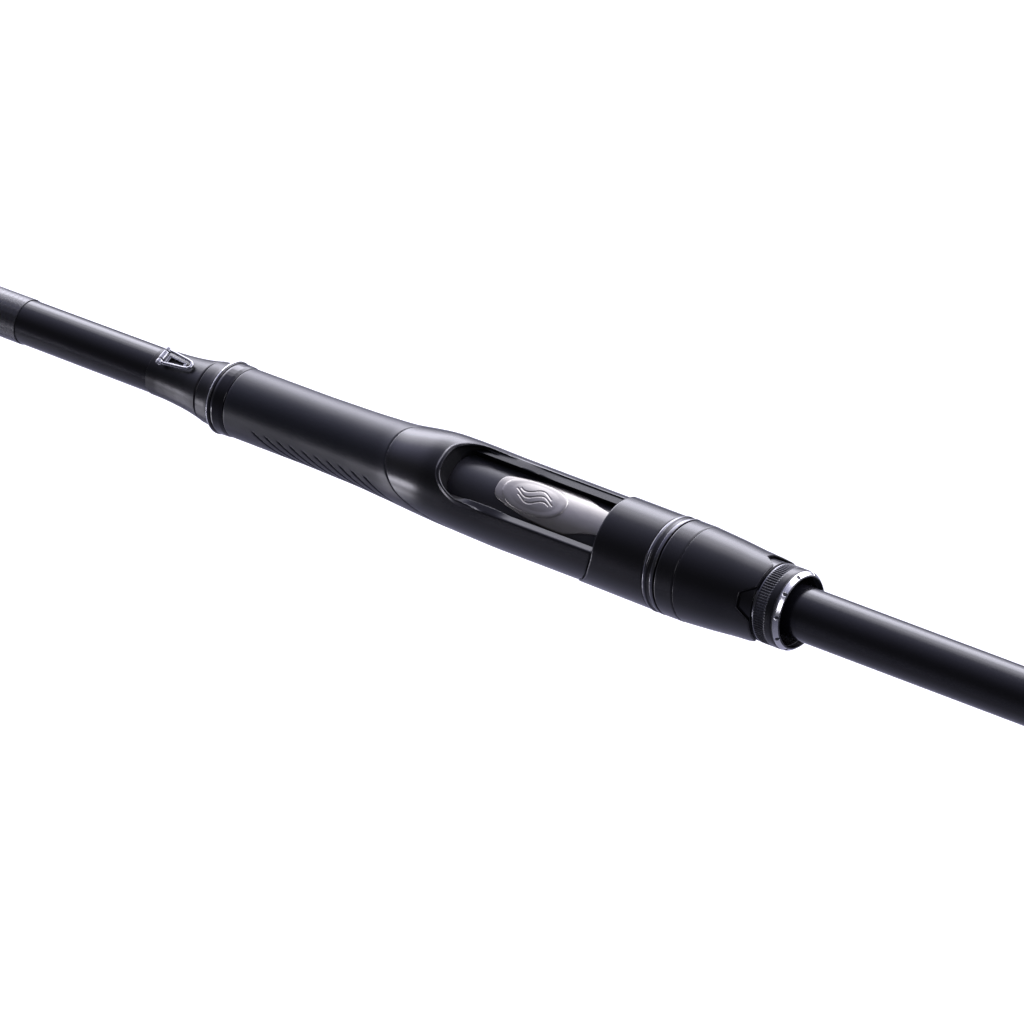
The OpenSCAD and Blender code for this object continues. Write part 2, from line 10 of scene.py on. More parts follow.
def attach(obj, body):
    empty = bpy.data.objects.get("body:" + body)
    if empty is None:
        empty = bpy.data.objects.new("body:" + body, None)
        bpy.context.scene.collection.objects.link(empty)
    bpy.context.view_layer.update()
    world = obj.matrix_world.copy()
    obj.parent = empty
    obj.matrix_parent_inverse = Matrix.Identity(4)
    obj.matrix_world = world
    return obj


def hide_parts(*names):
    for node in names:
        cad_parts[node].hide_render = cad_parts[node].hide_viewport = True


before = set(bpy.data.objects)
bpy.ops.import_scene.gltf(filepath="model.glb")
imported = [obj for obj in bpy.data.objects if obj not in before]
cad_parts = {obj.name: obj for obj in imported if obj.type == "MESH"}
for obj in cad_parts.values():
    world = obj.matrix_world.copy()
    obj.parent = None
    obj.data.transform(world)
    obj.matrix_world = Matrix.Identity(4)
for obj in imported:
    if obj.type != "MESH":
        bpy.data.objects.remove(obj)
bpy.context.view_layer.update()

# ---- sizes, in millimetres, as in the CAD
BUTT, TIP = "butt_section", "tip_section"  # bodies
SEAT = 365.0  # the seat's own origin; the outlines of its pieces are given from here
GAP = 0.04  # between neighbouring pieces
MM = 0.001
CURVE_STEP = 0.05  # pitch of the smooth curves' tables
PLAIN, FINE, TOOTHED = 128, 192, 720  # facets around turned pieces
GRID = 0.29  # pitch of the moulded pieces' distance fields
PIPE_BORE = 10.24  # what rides on the seat pipe starts here
TUBE_BORE = 8.04  # what rides on the rear tube starts here
JOINT_X, JOINT_LEN, ROD_LEN = 980.0, 70.0, 1980.0
# skin of the seat and the grip: x, radius, height of the centre; then the grip's belly in the same way
SKIN = [(42, 12, 0), (33, 13, 0.9), (26, 13.55, 1.5), (16, 13.8, 1), (2, 13.9, 0.1), (-41, 13.85, -0.1)]
BELLY = [(11, 12.2, -2.6), (25, 12.2, -2.6), (33, 11.6, -2.2), (50, 11, -0.3)]
# edges of the seat body, as x and height: the seam with the grip, and the lip over the hood
SEAM = [
    (42.6, 16), (42.2, 13), (40.6, 10), (36, 5.5), (28, 1.5), (20, -1.2), (15.5, -4.5), (14, -8), (14, -18)
]
LIP = [(-38.6, 17), (-38.3, 9), (-35.5, 2), (-29.6, -5), (-25, -10), (-24.2, -18)]
# blanks and wraps, as x and radius
BUTT_TAPER = [(12, 7.2), (290, 7.2), (505, 7.1), (JOINT_X, 5.5), (JOINT_X + JOINT_LEN, 5.28)]
TIP_TAPER = [(JOINT_X, 6.4), (JOINT_X + JOINT_LEN, 5.9), (ROD_LEN - 4, 1)]
# guides: x, bore, outer radius, drop, foot length
GUIDES = [
    (860, 9.3, 12.5, 27, 17),
    (1130, 5.7, 8.2, 19, 13),
    (1330, 3.5, 5.4, 13, 10),
    (1500, 2.7, 4.4, 10.2, 9),
    (1650, 2.3, 3.8, 8.4, 8),
    (1780, 2, 3.4, 7, 7),
    (1890, 2, 3.4, 6.2, 7),
]
FOOT_R = 0.7
CERAMIC = 0.9  # thickness of the ceramic rings
KEEPER_TURN = math.radians(8)
PIN_X, PIN_Z, NOSE_X, WIRE_R = 131.3, 9.3, 120.1, 0.5  # hook keeper: pin, nose, wire
WRAP_TAPER = [(117.5, 8.95), (120.5, 8.4), (124, 7.95), (128, 7.6), (132, 7.35)]
# the badge plate's side, as x and half-width
PLATE_SIDE = [
    (2.7, 1.6), (2.2, 3), (1, 4), (-4.6, 5.4), (-10, 6.4), (-18.5, 7), (-25, 7), (-31.5, 4.9), (-36, 4),
    (-50, 4),
]


def blank_r(x):
    """Radius of the blank at x."""
    t = BUTT_TAPER if x < JOINT_X else TIP_TAPER
    return float(np.interp(x, [p[0] for p in t], [p[1] for p in t]))


# ---- materials
def nodes_of(name):
    """A new material with its nodes, links and shader."""
    m = bpy.data.materials.new(name)
    m.use_nodes = True
    return m, m.node_tree.nodes, m.node_tree.links, m.node_tree.nodes["Principled BSDF"]


def noise(n, l, scale, detail=4.0, stretch=(1, 1, 1)):
    """A noise texture in the piece's own coordinates."""
    coord = n.new("ShaderNodeTexCoord")
    mapping = n.new("ShaderNodeMapping")
    mapping.inputs["Scale"].default_value = stretch
    tex = n.new("ShaderNodeTexNoise")
    tex.inputs["Scale"].default_value = scale
    tex.inputs["Detail"].default_value = detail
    tex.inputs["Roughness"].default_value = 0.6
    l.new(coord.outputs["Object"], mapping.inputs["Vector"])
    l.new(mapping.outputs["Vector"], tex.inputs["Vector"])
    return tex


def ramp(n, l, source, low, high, out_low, out_high):
    """A value mapped from one range to another."""
    r = n.new("ShaderNodeMapRange")
    r.inputs["From Min"].default_value = low
    r.inputs["From Max"].default_value = high
    r.inputs["To Min"].default_value = out_low
    r.inputs["To Max"].default_value = out_high
    l.new(source, r.inputs["Value"])
    return r.outputs["Result"]


def tinted(n, l, factor, a, b):
    """A colour between a and b."""
    mix = n.new("ShaderNodeMix")
    mix.data_type = "RGBA"
    mix.inputs["A"].default_value = (*a, 1)
    mix.inputs["B"].default_value = (*b, 1)
    l.new(factor, mix.inputs["Factor"])
    return mix.outputs["Result"]


def bumped(n, l, shader, height, strength, distance):
    """Fine surface grain, as bump."""
    b = n.new("ShaderNodeBump")
    b.inputs["Strength"].default_value = strength
    b.inputs["Distance"].default_value = distance
    l.new(height, b.inputs["Height"])
    l.new(b.outputs["Normal"], shader.inputs["Normal"])


def finish_mat(
    name, colour, rough, spread=0.05, metal=0.0, grain=900, depth=0.0, stretch=(1, 1, 1), vary=0.15, ior=1.5
):
    """A finish with a grain in its roughness, a wider drift in its colour and, with depth, a fine bump."""
    m, n, l, p = nodes_of(name)
    tex = noise(n, l, grain, stretch=stretch)
    wide = noise(n, l, 35, detail=3.0)
    dark = tuple(c * (1 - vary) for c in colour)
    light = tuple(min(1, c * (1 + vary)) for c in colour)
    l.new(tinted(n, l, wide.outputs["Fac"], dark, light), p.inputs["Base Color"])
    l.new(
        ramp(n, l, tex.outputs["Fac"], 0.3, 0.7, max(0.0, rough - spread), rough + spread),
        p.inputs["Roughness"],
    )
    p.inputs["Metallic"].default_value = metal
    p.inputs["IOR"].default_value = ior
    if depth:
        bumped(n, l, p, tex.outputs["Fac"], 0.5, depth)
    return m


M = {
    "rear_tube": finish_mat("rear_tube_satin", (0.004, 0.004, 0.0055), 0.19, grain=1500, depth=0.00002),
    "blank": finish_mat("blank_satin", (0.004, 0.004, 0.005), 0.15, spread=0.03, grain=1500, depth=0.00001),
    "gloss": finish_mat("seat_gloss", (0.004, 0.004, 0.005), 0.1, spread=0.02, grain=600),
    # painted shade: a dull black that reflects little, for the shaded front wall of the seat's hollow
    "painted_shade_well": finish_mat("painted_shade_black", (0.003, 0.003, 0.0035), 0.7, grain=1200, ior=1.2),
    "satin_gloss": finish_mat(
        "hood_satin_gloss", (0.003, 0.003, 0.0038), 0.23, spread=0.02, grain=1400, depth=0.00001
    ),
    "soft": finish_mat(
        "soft_touch", (0.007, 0.0075, 0.011), 0.34, spread=0.04, grain=2600, depth=0.00003, ior=1.45
    ),
    "pipe": finish_mat("pipe_satin", (0.022, 0.022, 0.026), 0.3, spread=0.02, grain=900),
    "badge": finish_mat(
        "badge_satin", (0.3, 0.288, 0.268), 0.36, spread=0.06, metal=0.9, grain=2200, depth=0.00002,
        stretch=(0.15, 1, 1),
    ),
    "silver": finish_mat(
        "ring_silver", (0.62, 0.62, 0.62), 0.22, spread=0.04, metal=1.0, grain=1200, vary=0.05
    ),
    "satin_silver": finish_mat(
        "trim_satin_silver", (0.56, 0.57, 0.6), 0.3, spread=0.05, metal=1.0, grain=1600,
        stretch=(6, 0.3, 0.3), vary=0.08,
    ),
    "dark_metal": finish_mat(
        "knurl_dark_metal", (0.03, 0.03, 0.034), 0.26, spread=0.06, metal=0.6, grain=1800, depth=0.00002
    ),
    "dark_chrome": finish_mat(
        "ridge_dark_chrome", (0.17, 0.17, 0.18), 0.16, spread=0.03, metal=1.0, grain=900, vary=0.06
    ),
    "steel": finish_mat(
        "stainless", (0.36, 0.36, 0.37), 0.24, spread=0.05, metal=1.0, grain=1400, vary=0.08
    ),
    "guide": finish_mat(
        "guide_dark_steel", (0.17, 0.175, 0.19), 0.24, spread=0.05, metal=1.0, grain=1200, vary=0.1
    ),
    "ceramic": finish_mat("ring_ceramic", (0.045, 0.046, 0.05), 0.08, spread=0.02, grain=500, ior=1.9),
    "wrap": finish_mat("wrap_epoxy", (0.004, 0.004, 0.005), 0.15, spread=0.03, grain=800, depth=0.00001),
    "taper": finish_mat("taper_satin", (0.004, 0.004, 0.005), 0.3, spread=0.015, grain=1200, ior=1.4),
    "resin": finish_mat("black_resin", (0.02, 0.02, 0.023), 0.4, grain=1500, depth=0.00003),
    "rubber": finish_mat("butt_rubber", (0.02, 0.02, 0.021), 0.6, grain=1800, depth=0.0001, ior=1.4),
    "foam": finish_mat("grip_foam", (0.022, 0.023, 0.026), 0.75, grain=1300, depth=0.0003, ior=1.35),
    "tan": finish_mat("bushing_tan", (0.42, 0.33, 0.22), 0.6, grain=900, depth=0.00005),
}


def weave_mat():
    """Carbon weave under a clear coat, from the piece's unrolled coordinates."""
    m, n, l, p = nodes_of("carbon_weave")
    coord = n.new("ShaderNodeUVMap")
    coord.uv_map = "UVMap"
    scale = n.new("ShaderNodeMapping")
    scale.inputs["Rotation"].default_value = (0, 0, math.radians(45))
    l.new(coord.outputs["UV"], scale.inputs["Vector"])
    check = n.new("ShaderNodeTexChecker")
    check.inputs["Scale"].default_value = 0.8
    check.inputs["Color1"].default_value = (0.004, 0.004, 0.005, 1)
    check.inputs["Color2"].default_value = (0.022, 0.0225, 0.026, 1)
    l.new(scale.outputs["Vector"], check.inputs["Vector"])
    l.new(check.outputs["Color"], p.inputs["Base Color"])
    l.new(ramp(n, l, check.outputs["Fac"], 0, 1, 0.26, 0.36), p.inputs["Roughness"])
    p.inputs["Coat Weight"].default_value = 0.3
    p.inputs["Coat Roughness"].default_value = 0.08
    bumped(n, l, p, check.outputs["Fac"], 0.4, 0.00004)
    return m


M["weave"] = weave_mat()


# ---- mesh tools
def add_mesh(name, verts, faces, mats, body, replaces, normals=None, index=None, uv=None):
    """An object on a body, from points in millimetres, in place of the named CAD nodes."""
    me = bpy.data.meshes.new(name)
    me.from_pydata((np.asarray(verts, float) * MM).tolist(), [], np.asarray(faces).tolist())
    for m in mats if isinstance(mats, (list, tuple)) else [mats]:
        me.materials.append(m)
    if index is not None:
        me.polygons.foreach_set("material_index", np.asarray(index, np.int32))
    me.polygons.foreach_set("use_smooth", np.ones(len(me.polygons), bool))
    if uv is not None:
        layer = me.uv_layers.new(name="UVMap")
        layer.data.foreach_set("uv", np.asarray(uv, np.float32).ravel())
    me.update()
    if normals is not None:
        me.normals_split_custom_set_from_vertices(np.asarray(normals, float).tolist())
    o = bpy.data.objects.new(name, me)
    bpy.context.scene.collection.objects.link(o)
    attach(o, body)
    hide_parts(*replaces)
    return o


CORNER_SHARE = 0.4  # the most of a side that one corner's rounding takes
CORNER_STEPS = 4
STRAIGHT = 0.02  # a smaller turn than this is no corner, in radians


def rounded(profile, radius):
    """The closed [x, r] outline, each corner off the axis rounded, and its outward normals."""
    p = np.asarray(profile, float)
    area = 0.5 * np.sum(p[:, 0] * np.roll(p[:, 1], -1) - np.roll(p[:, 0], -1) * p[:, 1])
    if area < 0:
        p = p[::-1]
    out, nor = [], []
    count = len(p)
    for i in range(count):
        a, b, c = p[i - 1], p[i], p[(i + 1) % count]
        d0, d1 = b - a, c - b
        l0, l1 = np.linalg.norm(d0), np.linalg.norm(d1)
        d0, d1 = d0 / l0, d1 / l1
        n0, n1 = np.array([d0[1], -d0[0]]), np.array([d1[1], -d1[0]])
        turn = math.acos(max(-1, min(1, float(d0 @ d1))))
        if turn < STRAIGHT or b[1] == 0:
            out.append(b)
            nor.append((n0 + n1) / np.linalg.norm(n0 + n1))
            continue
        cut = min(radius, CORNER_SHARE * l0, CORNER_SHARE * l1)
        s, e = b - d0 * cut, b + d1 * cut
        k = max(2, int(CORNER_STEPS * turn / 1.5) + 1)
        for j in range(k + 1):
            t = j / k
            out.append((1 - t) ** 2 * s + 2 * t * (1 - t) * b + t**2 * e)
            n = (1 - t) * n0 + t * n1
            nor.append(n / np.linalg.norm(n))
    return np.array(out), np.array(nor)


def lathe(
    name, profile, mat, body, replaces, radius, seg=160, z=0.0, shape=None, zones=None, sections=None,
    unroll=None,
):
    """A turned piece from its closed [x, r] outline. zones picks materials, shape moves points."""
    q, qn = rounded(profile, radius)
    if sections:
        pts, nors = [], []
        for i in range(len(q)):
            a, b = q[i], q[(i + 1) % len(q)]
            k = max(1, int(np.linalg.norm(b - a) / sections))
            for j in range(k):
                pts.append(a + (b - a) * j / k)
                if j == 0:
                    nors.append(qn[i])
                else:
                    d = (b - a) / np.linalg.norm(b - a)
                    nors.append(np.array([d[1], -d[0]]))
        q, qn = np.array(pts), np.array(nors)
    n = len(q)
    t = np.arange(seg) * 2 * math.pi / seg
    ct, st = np.cos(t), np.sin(t)
    x = np.repeat(q[:, 0][None], seg, 0)
    r = np.repeat(q[:, 1][None], seg, 0)
    ang = np.repeat(t[:, None], n, 1)
    if shape is not None:
        r = shape(x, r, ang)
    v = np.stack([x, r * np.sin(ang), r * np.cos(ang) + z], -1).reshape(-1, 3)
    nn = np.stack(
        [np.repeat(qn[:, 0][None], seg, 0), qn[:, 1][None] * st[:, None], qn[:, 1][None] * ct[:, None]], -1
    ).reshape(-1, 3)
    i, j = np.meshgrid(np.arange(seg), np.arange(n), indexing="ij")
    i1, j1 = (i + 1) % seg, (j + 1) % n
    f = np.stack([i * n + j, i * n + j1, i1 * n + j1, i1 * n + j], -1).reshape(-1, 4)
    # the outline runs anticlockwise in (x, r), so its outward side is to the right
    va, vb, vc = v[f[:n, 0]], v[f[:n, 1]], v[f[:n, 2]]
    if (np.cross(vb - va, vc - vb) * nn[f[:n, 0]]).sum() < 0:
        f = f[:, ::-1]
    index = None
    if zones is not None:
        mid = v[f].mean(1)
        index = zones(mid[:, 0], np.hypot(mid[:, 1], mid[:, 2] - z), np.arctan2(mid[:, 1], mid[:, 2] - z))
    uvs = None
    if unroll:
        a = np.arctan2(v[f][:, :, 1], v[f][:, :, 2])
        a = np.where(a - a[:, :1] > math.pi, a - 2 * math.pi, a)
        a = np.where(a - a[:, :1] < -math.pi, a + 2 * math.pi, a)
        uvs = np.stack([v[f][:, :, 0], a * unroll], -1)
    return add_mesh(name, v, f, mat, body, replaces, None if shape is not None else nn, index, uvs)


def close_poles(me):
    """Joins the points that lie on the axis, so that a solid piece has no pinhole."""
    bm = bmesh.new()
    bm.from_mesh(me)
    bmesh.ops.remove_doubles(bm, verts=bm.verts, dist=1e-7)
    bmesh.ops.delete(bm, geom=[e for e in bm.edges if not e.link_faces], context="EDGES")
    bm.to_mesh(me)
    bm.free()


def tube_outline(x0, x1, r0, r1, b0, b1):
    """Outline of a tapering tube: outer radii r0 and r1, bores b0 and b1."""
    return [(x0, b0), (x1, b1), (x1, r1), (x0, r0)]


class Field:
    """A distance field on a grid, turned into a mesh by surface nets."""

    def __init__(self, low, high, h):
        self.h = h
        self.low = np.asarray(low, float)
        n = [int(math.ceil((b - a) / h)) + 1 for a, b in zip(low, high)]
        axes = [self.low[i] + h * np.arange(n[i]) for i in range(3)]
        self.x, self.y, self.z = (a.astype(np.float32) for a in np.meshgrid(*axes, indexing="ij"))

    def mesh(self, f):
        """Points, four-sided faces and normals of the surface where f is zero."""
        h, low = self.h, self.low
        s = f < 0
        total = np.zeros(tuple(d - 1 for d in f.shape), np.int8)
        corners = [(i, j, k) for i in (0, 1) for j in (0, 1) for k in (0, 1)]
        nx, ny, nz = total.shape
        for i, j, k in corners:
            total += s[i : i + nx, j : j + ny, k : k + nz]
        cells = np.argwhere((total > 0) & (total < 8))
        vals = np.stack(
            [f[cells[:, 0] + i, cells[:, 1] + j, cells[:, 2] + k] for i, j, k in corners], 1
        ).astype(float)
        pos = np.zeros((len(cells), 3))
        hits = np.zeros(len(cells))
        cor = np.array(corners, float)
        for a in range(8):
            for b in range(a + 1, 8):
                if np.abs(cor[a] - cor[b]).sum() != 1:
                    continue
                va, vb = vals[:, a], vals[:, b]
                m = (va < 0) != (vb < 0)
                t = np.where(m, va / np.where(m, va - vb, 1), 0)
                pos += m[:, None] * (cor[a] + t[:, None] * (cor[b] - cor[a]))
                hits += m
        pos = pos / hits[:, None]
        number = np.full(total.shape, -1, np.int64)
        number[tuple(cells.T)] = np.arange(len(cells))
        grad = np.zeros((len(cells), 3))
        for axis in range(3):
            for c, (i, j, k) in enumerate(corners):
                wt = np.ones(len(cells))
                for d, bit in enumerate((i, j, k)):
                    if d != axis:
                        wt = wt * (pos[:, d] if bit else 1 - pos[:, d])
                grad[:, axis] += wt * vals[:, c] * (1 if (i, j, k)[axis] else -1)
        faces = []
        for axis in range(3):
            others = [d for d in range(3) if d != axis]
            lo = [slice(None)] * 3
            hi = [slice(None)] * 3
            lo[axis], hi[axis] = slice(0, -1), slice(1, None)
            change = s[tuple(lo)] != s[tuple(hi)]
            e = np.argwhere(change)
            ok = np.ones(len(e), bool)
            for d in others:
                ok &= (e[:, d] > 0) & (e[:, d] < f.shape[d] - 1)
            e = e[ok]
            inside = s[tuple(e.T)]
            quad = []
            for da, db in ((-1, -1), (0, -1), (0, 0), (-1, 0)):
                c = e.copy()
                c[:, others[0]] += da
                c[:, others[1]] += db
                quad.append(number[tuple(c.T)])
            quad = np.stack(quad, 1)
            flip = inside if axis != 1 else ~inside
            quad[~flip] = quad[~flip][:, ::-1]
            faces.append(quad)
        faces = np.concatenate(faces)
        v = low + (cells + pos) * h
        g = grad / np.maximum(np.linalg.norm(grad, axis=1, keepdims=True), 1e-9)
        return v, faces, g


def smin(a, b, k):
    """The lesser of two fields, blended over k."""
    h = np.clip(0.5 + 0.5 * (b - a) / k, 0, 1)
    return b * (1 - h) + a * h - k * h * (1 - h)


def smax(a, b, k):
    """The greater of two fields, blended over k."""
    return -smin(-a, -b, k)


def smooth_curve(points, width):
    """The broken line through points, softened over width, as a function of its first coordinate."""
    p = sorted(points)
    xs = np.arange(p[0][0] - 4 * width, p[-1][0] + 4 * width, CURVE_STEP)
    ys = np.interp(xs, [q[0] for q in p], [q[1] for q in p])
    reach = int(3 * width / CURVE_STEP)
    k = np.exp(-0.5 * (np.arange(-reach, reach + 1) * CURVE_STEP / width) ** 2)
    ys = np.convolve(np.pad(ys, len(k) // 2, mode="edge"), k / k.sum(), mode="valid")
    return lambda x: np.interp(x, xs, ys).astype(np.float32)


def segment(f, a, b, r0, r1=None):
    """Distance to a round bar from a to b."""
    a, b = np.asarray(a, float), np.asarray(b, float)
    d = b - a
    px, py, pz = f.x - a[0], f.y - a[1], f.z - a[2]
    t = np.clip((px * d[0] + py * d[1] + pz * d[2]) / (d @ d), 0, 1)
    r = r0 if r1 is None else r0 + (r1 - r0) * t
    return np.sqrt((px - d[0] * t) ** 2 + (py - d[1] * t) ** 2 + (pz - d[2] * t) ** 2) - r


def slab(value, low, high):
    """Below zero where value is between low and high."""
    return np.maximum(low - value, value - high)


def boxed(f, low, high, r):
    """A box with its edges rounded by r."""
    c = [(a + b) / 2 for a, b in zip(low, high)]
    e = [(b - a) / 2 - r for a, b in zip(low, high)]
    q = [np.abs(v - m) - w for v, m, w in zip((f.x, f.y, f.z), c, e)]
    out = np.sqrt(sum(np.maximum(v, 0) ** 2 for v in q))
    return out + np.minimum(np.maximum(np.maximum(q[0], q[1]), q[2]), 0) - r


skin_r = smooth_curve(
    [(SEAT + a, b) for a, b, c in SKIN]
    + [(SEAT - 60, 13.8), (SEAT + 56, 11.3), (SEAT + 74, 10.9), (SEAT + 110, 10.8)],
    2.2,
)
skin_c = smooth_curve([(SEAT + a, c) for a, b, c in SKIN] + [(SEAT - 60, -0.1), (SEAT + 60, 0)], 2.2)
belly_r = smooth_curve([(SEAT + a, b) for a, b, c in BELLY] + [(SEAT + 62, 8.5)], 1.6)
belly_c = smooth_curve([(SEAT + a, c) for a, b, c in BELLY] + [(SEAT + 62, 0)], 1.6)
seam_x = smooth_curve([(z, SEAT + x) for x, z in SEAM], 0.9)
lip_x = smooth_curve([(z, SEAT + x) for x, z in LIP], 1.2)


def ring_dist(f, c=0.0):
    """Distance from a line along x, at height c."""
    return np.sqrt(f.y**2 + (f.z - c) ** 2)


def liner_block(f):
    """Below zero where the steel liner of the fixed hood sits."""
    t = np.clip((f.x - SEAT - 14) / 16, 0, 1)
    wide = np.maximum(ring_dist(f) - 13.84 + 0.8 * t, np.abs(f.y) - 9.34 + 1.9 * t)
    return np.maximum(wide, np.maximum(f.z + 3.46, slab(f.x, SEAT + 14, SEAT + 30.04)))


# ---- seat body
WINDOW_FRONT, WINDOW_HALF, WINDOW_CORNER = 17, 9.9, 6.3


def window_field(f):
    """Below zero inside the hollow that bares the pipe, and the same for its outline from above."""
    x, y, z = f.x - SEAT, f.y, f.z
    # seen from above: straight sides, round front corners; the front wall leans forward as it rises
    lean = np.clip((z - 10.2) * 0.5, 0, 2.3)
    qx = (x - (WINDOW_FRONT - WINDOW_CORNER) - lean) * 0.8
    qy = np.abs(y) - (WINDOW_HALF - WINDOW_CORNER)
    plan = (
        np.sqrt(np.maximum(qx, 0) ** 2 + np.maximum(qy, 0) ** 2)
        + np.minimum(np.maximum(qx, qy), 0)
        - WINDOW_CORNER
    )
    # across the rod: a channel under the plate, with a shelf along each side. Ahead the shelves fall away
    # outward; behind, the far one drops into a groove inside the rail and the near one dishes inward
    channel = np.maximum(np.abs(y) - 7.4, 7.1 - z)
    far = 0.5 + 0.5 * np.tanh((x + 7) / 4)
    near = np.exp(-(((x - 3.5) / 7.5) ** 4))
    base = np.where(y < 0, 9.0 + 0.66 * far, 9.8 - 0.1 * near)
    slope = np.where(y < 0, 0.3 - 0.03 * far, -0.36 + 0.46 * near)
    shelf = (base + (WINDOW_HALF - np.abs(y)) * slope - z) * 0.94
    return smax(plan, np.minimum(channel, shelf), 0.3), plan


def seat_body():
    """The seat body: skin, neck with key slots, window with its raised lip, and the pockets below."""
    f = Field((SEAT - 66.4, -15, -13.2), (SEAT + 44, 15, 16.4), GRID)
    c = skin_c(f.x)
    outer = ring_dist(f, c) - skin_r(f.x)
    body = smax(outer, lip_x(f.z) + 0.4 - f.x, 0.5)
    body = smax(body, (f.x - seam_x(f.z) + GAP) * 0.8, 0.35)
    neck = np.maximum(ring_dist(f) - 11.25, slab(f.x, SEAT - 65.4, SEAT - 26))
    key = np.maximum(np.maximum(10.42 - np.abs(f.y), np.abs(f.z) - 2), f.x - (SEAT - 38))
    neck = smax(neck, -key, 0.3)
    body = smin(body, neck, 0.4)
    win, _ = window_field(f)
    body = smax(body, -win, 0.5)
    lip = np.sqrt(win**2 + (outer + 0.12) ** 2) - 0.5 * np.clip((f.x - SEAT - 3) / 7, 0, 1)
    lip = np.maximum(lip, SEAT + 2.5 - f.x)
    body = smin(body, lip, 0.35)
    bed = np.maximum(np.abs(f.y) - 9.0, np.maximum(f.z, f.x - SEAT - 16))
    body = smax(body, -bed, 0.6)
    body = np.maximum(body, -liner_block(f))
    body = np.maximum(body, PIPE_BORE - ring_dist(f))
    v, q, g = f.mesh(body)
    # painted shade: the front wall of the hollow gets a dull, weakly reflecting black so that it reads as
    # shaded
    mid = v[q].mean(1)
    spot = SimpleNamespace(x=mid[:, 0], y=mid[:, 1], z=mid[:, 2])
    painted_shade_wall = (
        (np.abs(window_field(spot)[1]) < 0.3)
        & (spot.x > SEAT + 3)
        & (np.hypot(spot.y, spot.z - skin_c(spot.x)) < skin_r(spot.x) - 0.7)
    )
    add_mesh(
        "seat_body_shell", v, q, [M["satin_gloss"], M["painted_shade_well"]], BUTT, ["seat_body"],
        g, index=painted_shade_wall.astype(int),
    )


GROOVES, GROOVE_START, GROOVE_PITCH = 10, SEAT + 92.5, 4.8


def fore_grip():
    """The moulded fore grip, with a belly toward the seat and finger grooves low on each side."""
    f = Field((SEAT + 12.5, -14.6, -15.6), (SEAT + 104, 14.6, 15.8), GRID)
    outer = ring_dist(f, skin_c(f.x)) - skin_r(f.x)
    belly = ring_dist(f, belly_c(f.x)) - belly_r(f.x)
    outer = smin(outer, np.maximum(belly, f.x - SEAT - 60), 0.8)
    # the finger grooves, low on each side
    ang = np.degrees(np.arctan2(np.abs(f.y), f.z))
    groove = np.full(f.x.shape, 9.0, np.float32)
    for i in range(GROOVES):
        start = GROOVE_START - GROOVE_PITCH * i
        line = start - (ang - 60) * 0.235 - ((ang - 60) ** 2) * 0.0007
        side = (f.x - line) * 0.66
        fade = np.clip((ang - 58) / 8, 0, 1) * np.clip((112 - ang) / 6, 0, 1)
        groove = np.minimum(groove, np.sqrt(side**2 + outer**2) - 0.3 * fade + 0.6 * (1 - fade))
    body = smax(outer, -groove, 0.25)
    body = smax(body, (seam_x(f.z) - f.x) * 0.8, 0.35)
    body = smax(body, f.x - (SEAT + 103.3), 0.8)
    body = np.maximum(body, -liner_block(f))
    body = np.maximum(body, PIPE_BORE - ring_dist(f))
    v, q, g = f.mesh(body)
    add_mesh("fore_grip_moulding", v, q, M["soft"], BUTT, ["fore_grip"], g)


def moving_hood():
    """The moving hood: a round shell with a belly, a tail under its ring, a foot pocket and two keys."""
    f = Field((SEAT - 69, -15.4, -17.2), (SEAT - 23, 15.4, 16), GRID)
    t = np.clip((f.x - (SEAT - 57)) / 33, 0, 1)
    shell = ring_dist(f, 0.6 * t) - (14.45 - 0.15 * t)
    belly = ring_dist(f, -1.4 - 1.6 * t) - (13.0 - 0.5 * t)
    outer = smin(shell, belly, 1.2)
    body = smax(outer, (f.x - lip_x(f.z)) * 0.85, 0.5)
    body = smax(body, SEAT - 57 - f.x, 0.3)
    tail = np.maximum(ring_dist(f) - 12.6, slab(f.x, SEAT - 66.6, SEAT - 50))
    body = np.minimum(body, tail)
    body = np.maximum(body, 11.55 - ring_dist(f))
    pocket = np.maximum(
        np.maximum(ring_dist(f) - 13.2, np.abs(f.y) - 9.0), np.maximum(f.z, SEAT - 41 - f.x)
    )
    body = smax(body, -pocket, 0.4)
    cushion = np.maximum(
        np.maximum(ring_dist(f) - 14.0, np.abs(f.y) - 7), np.maximum(f.z, slab(f.x, SEAT - 40, SEAT - 25.4))
    )
    body = np.maximum(body, -cushion)
    key = boxed(f, (SEAT - 45.8, 10.75, -1.6), (SEAT - 38.8, 12, 1.6), 0.2)
    key = np.minimum(key, boxed(f, (SEAT - 45.8, -12, -1.6), (SEAT - 38.8, -10.75, 1.6), 0.2))
    body = np.minimum(body, key)
    v, q, g = f.mesh(body)
    add_mesh("moving_hood_shell", v, q, M["satin_gloss"], "hood", ["moving_hood"], g)


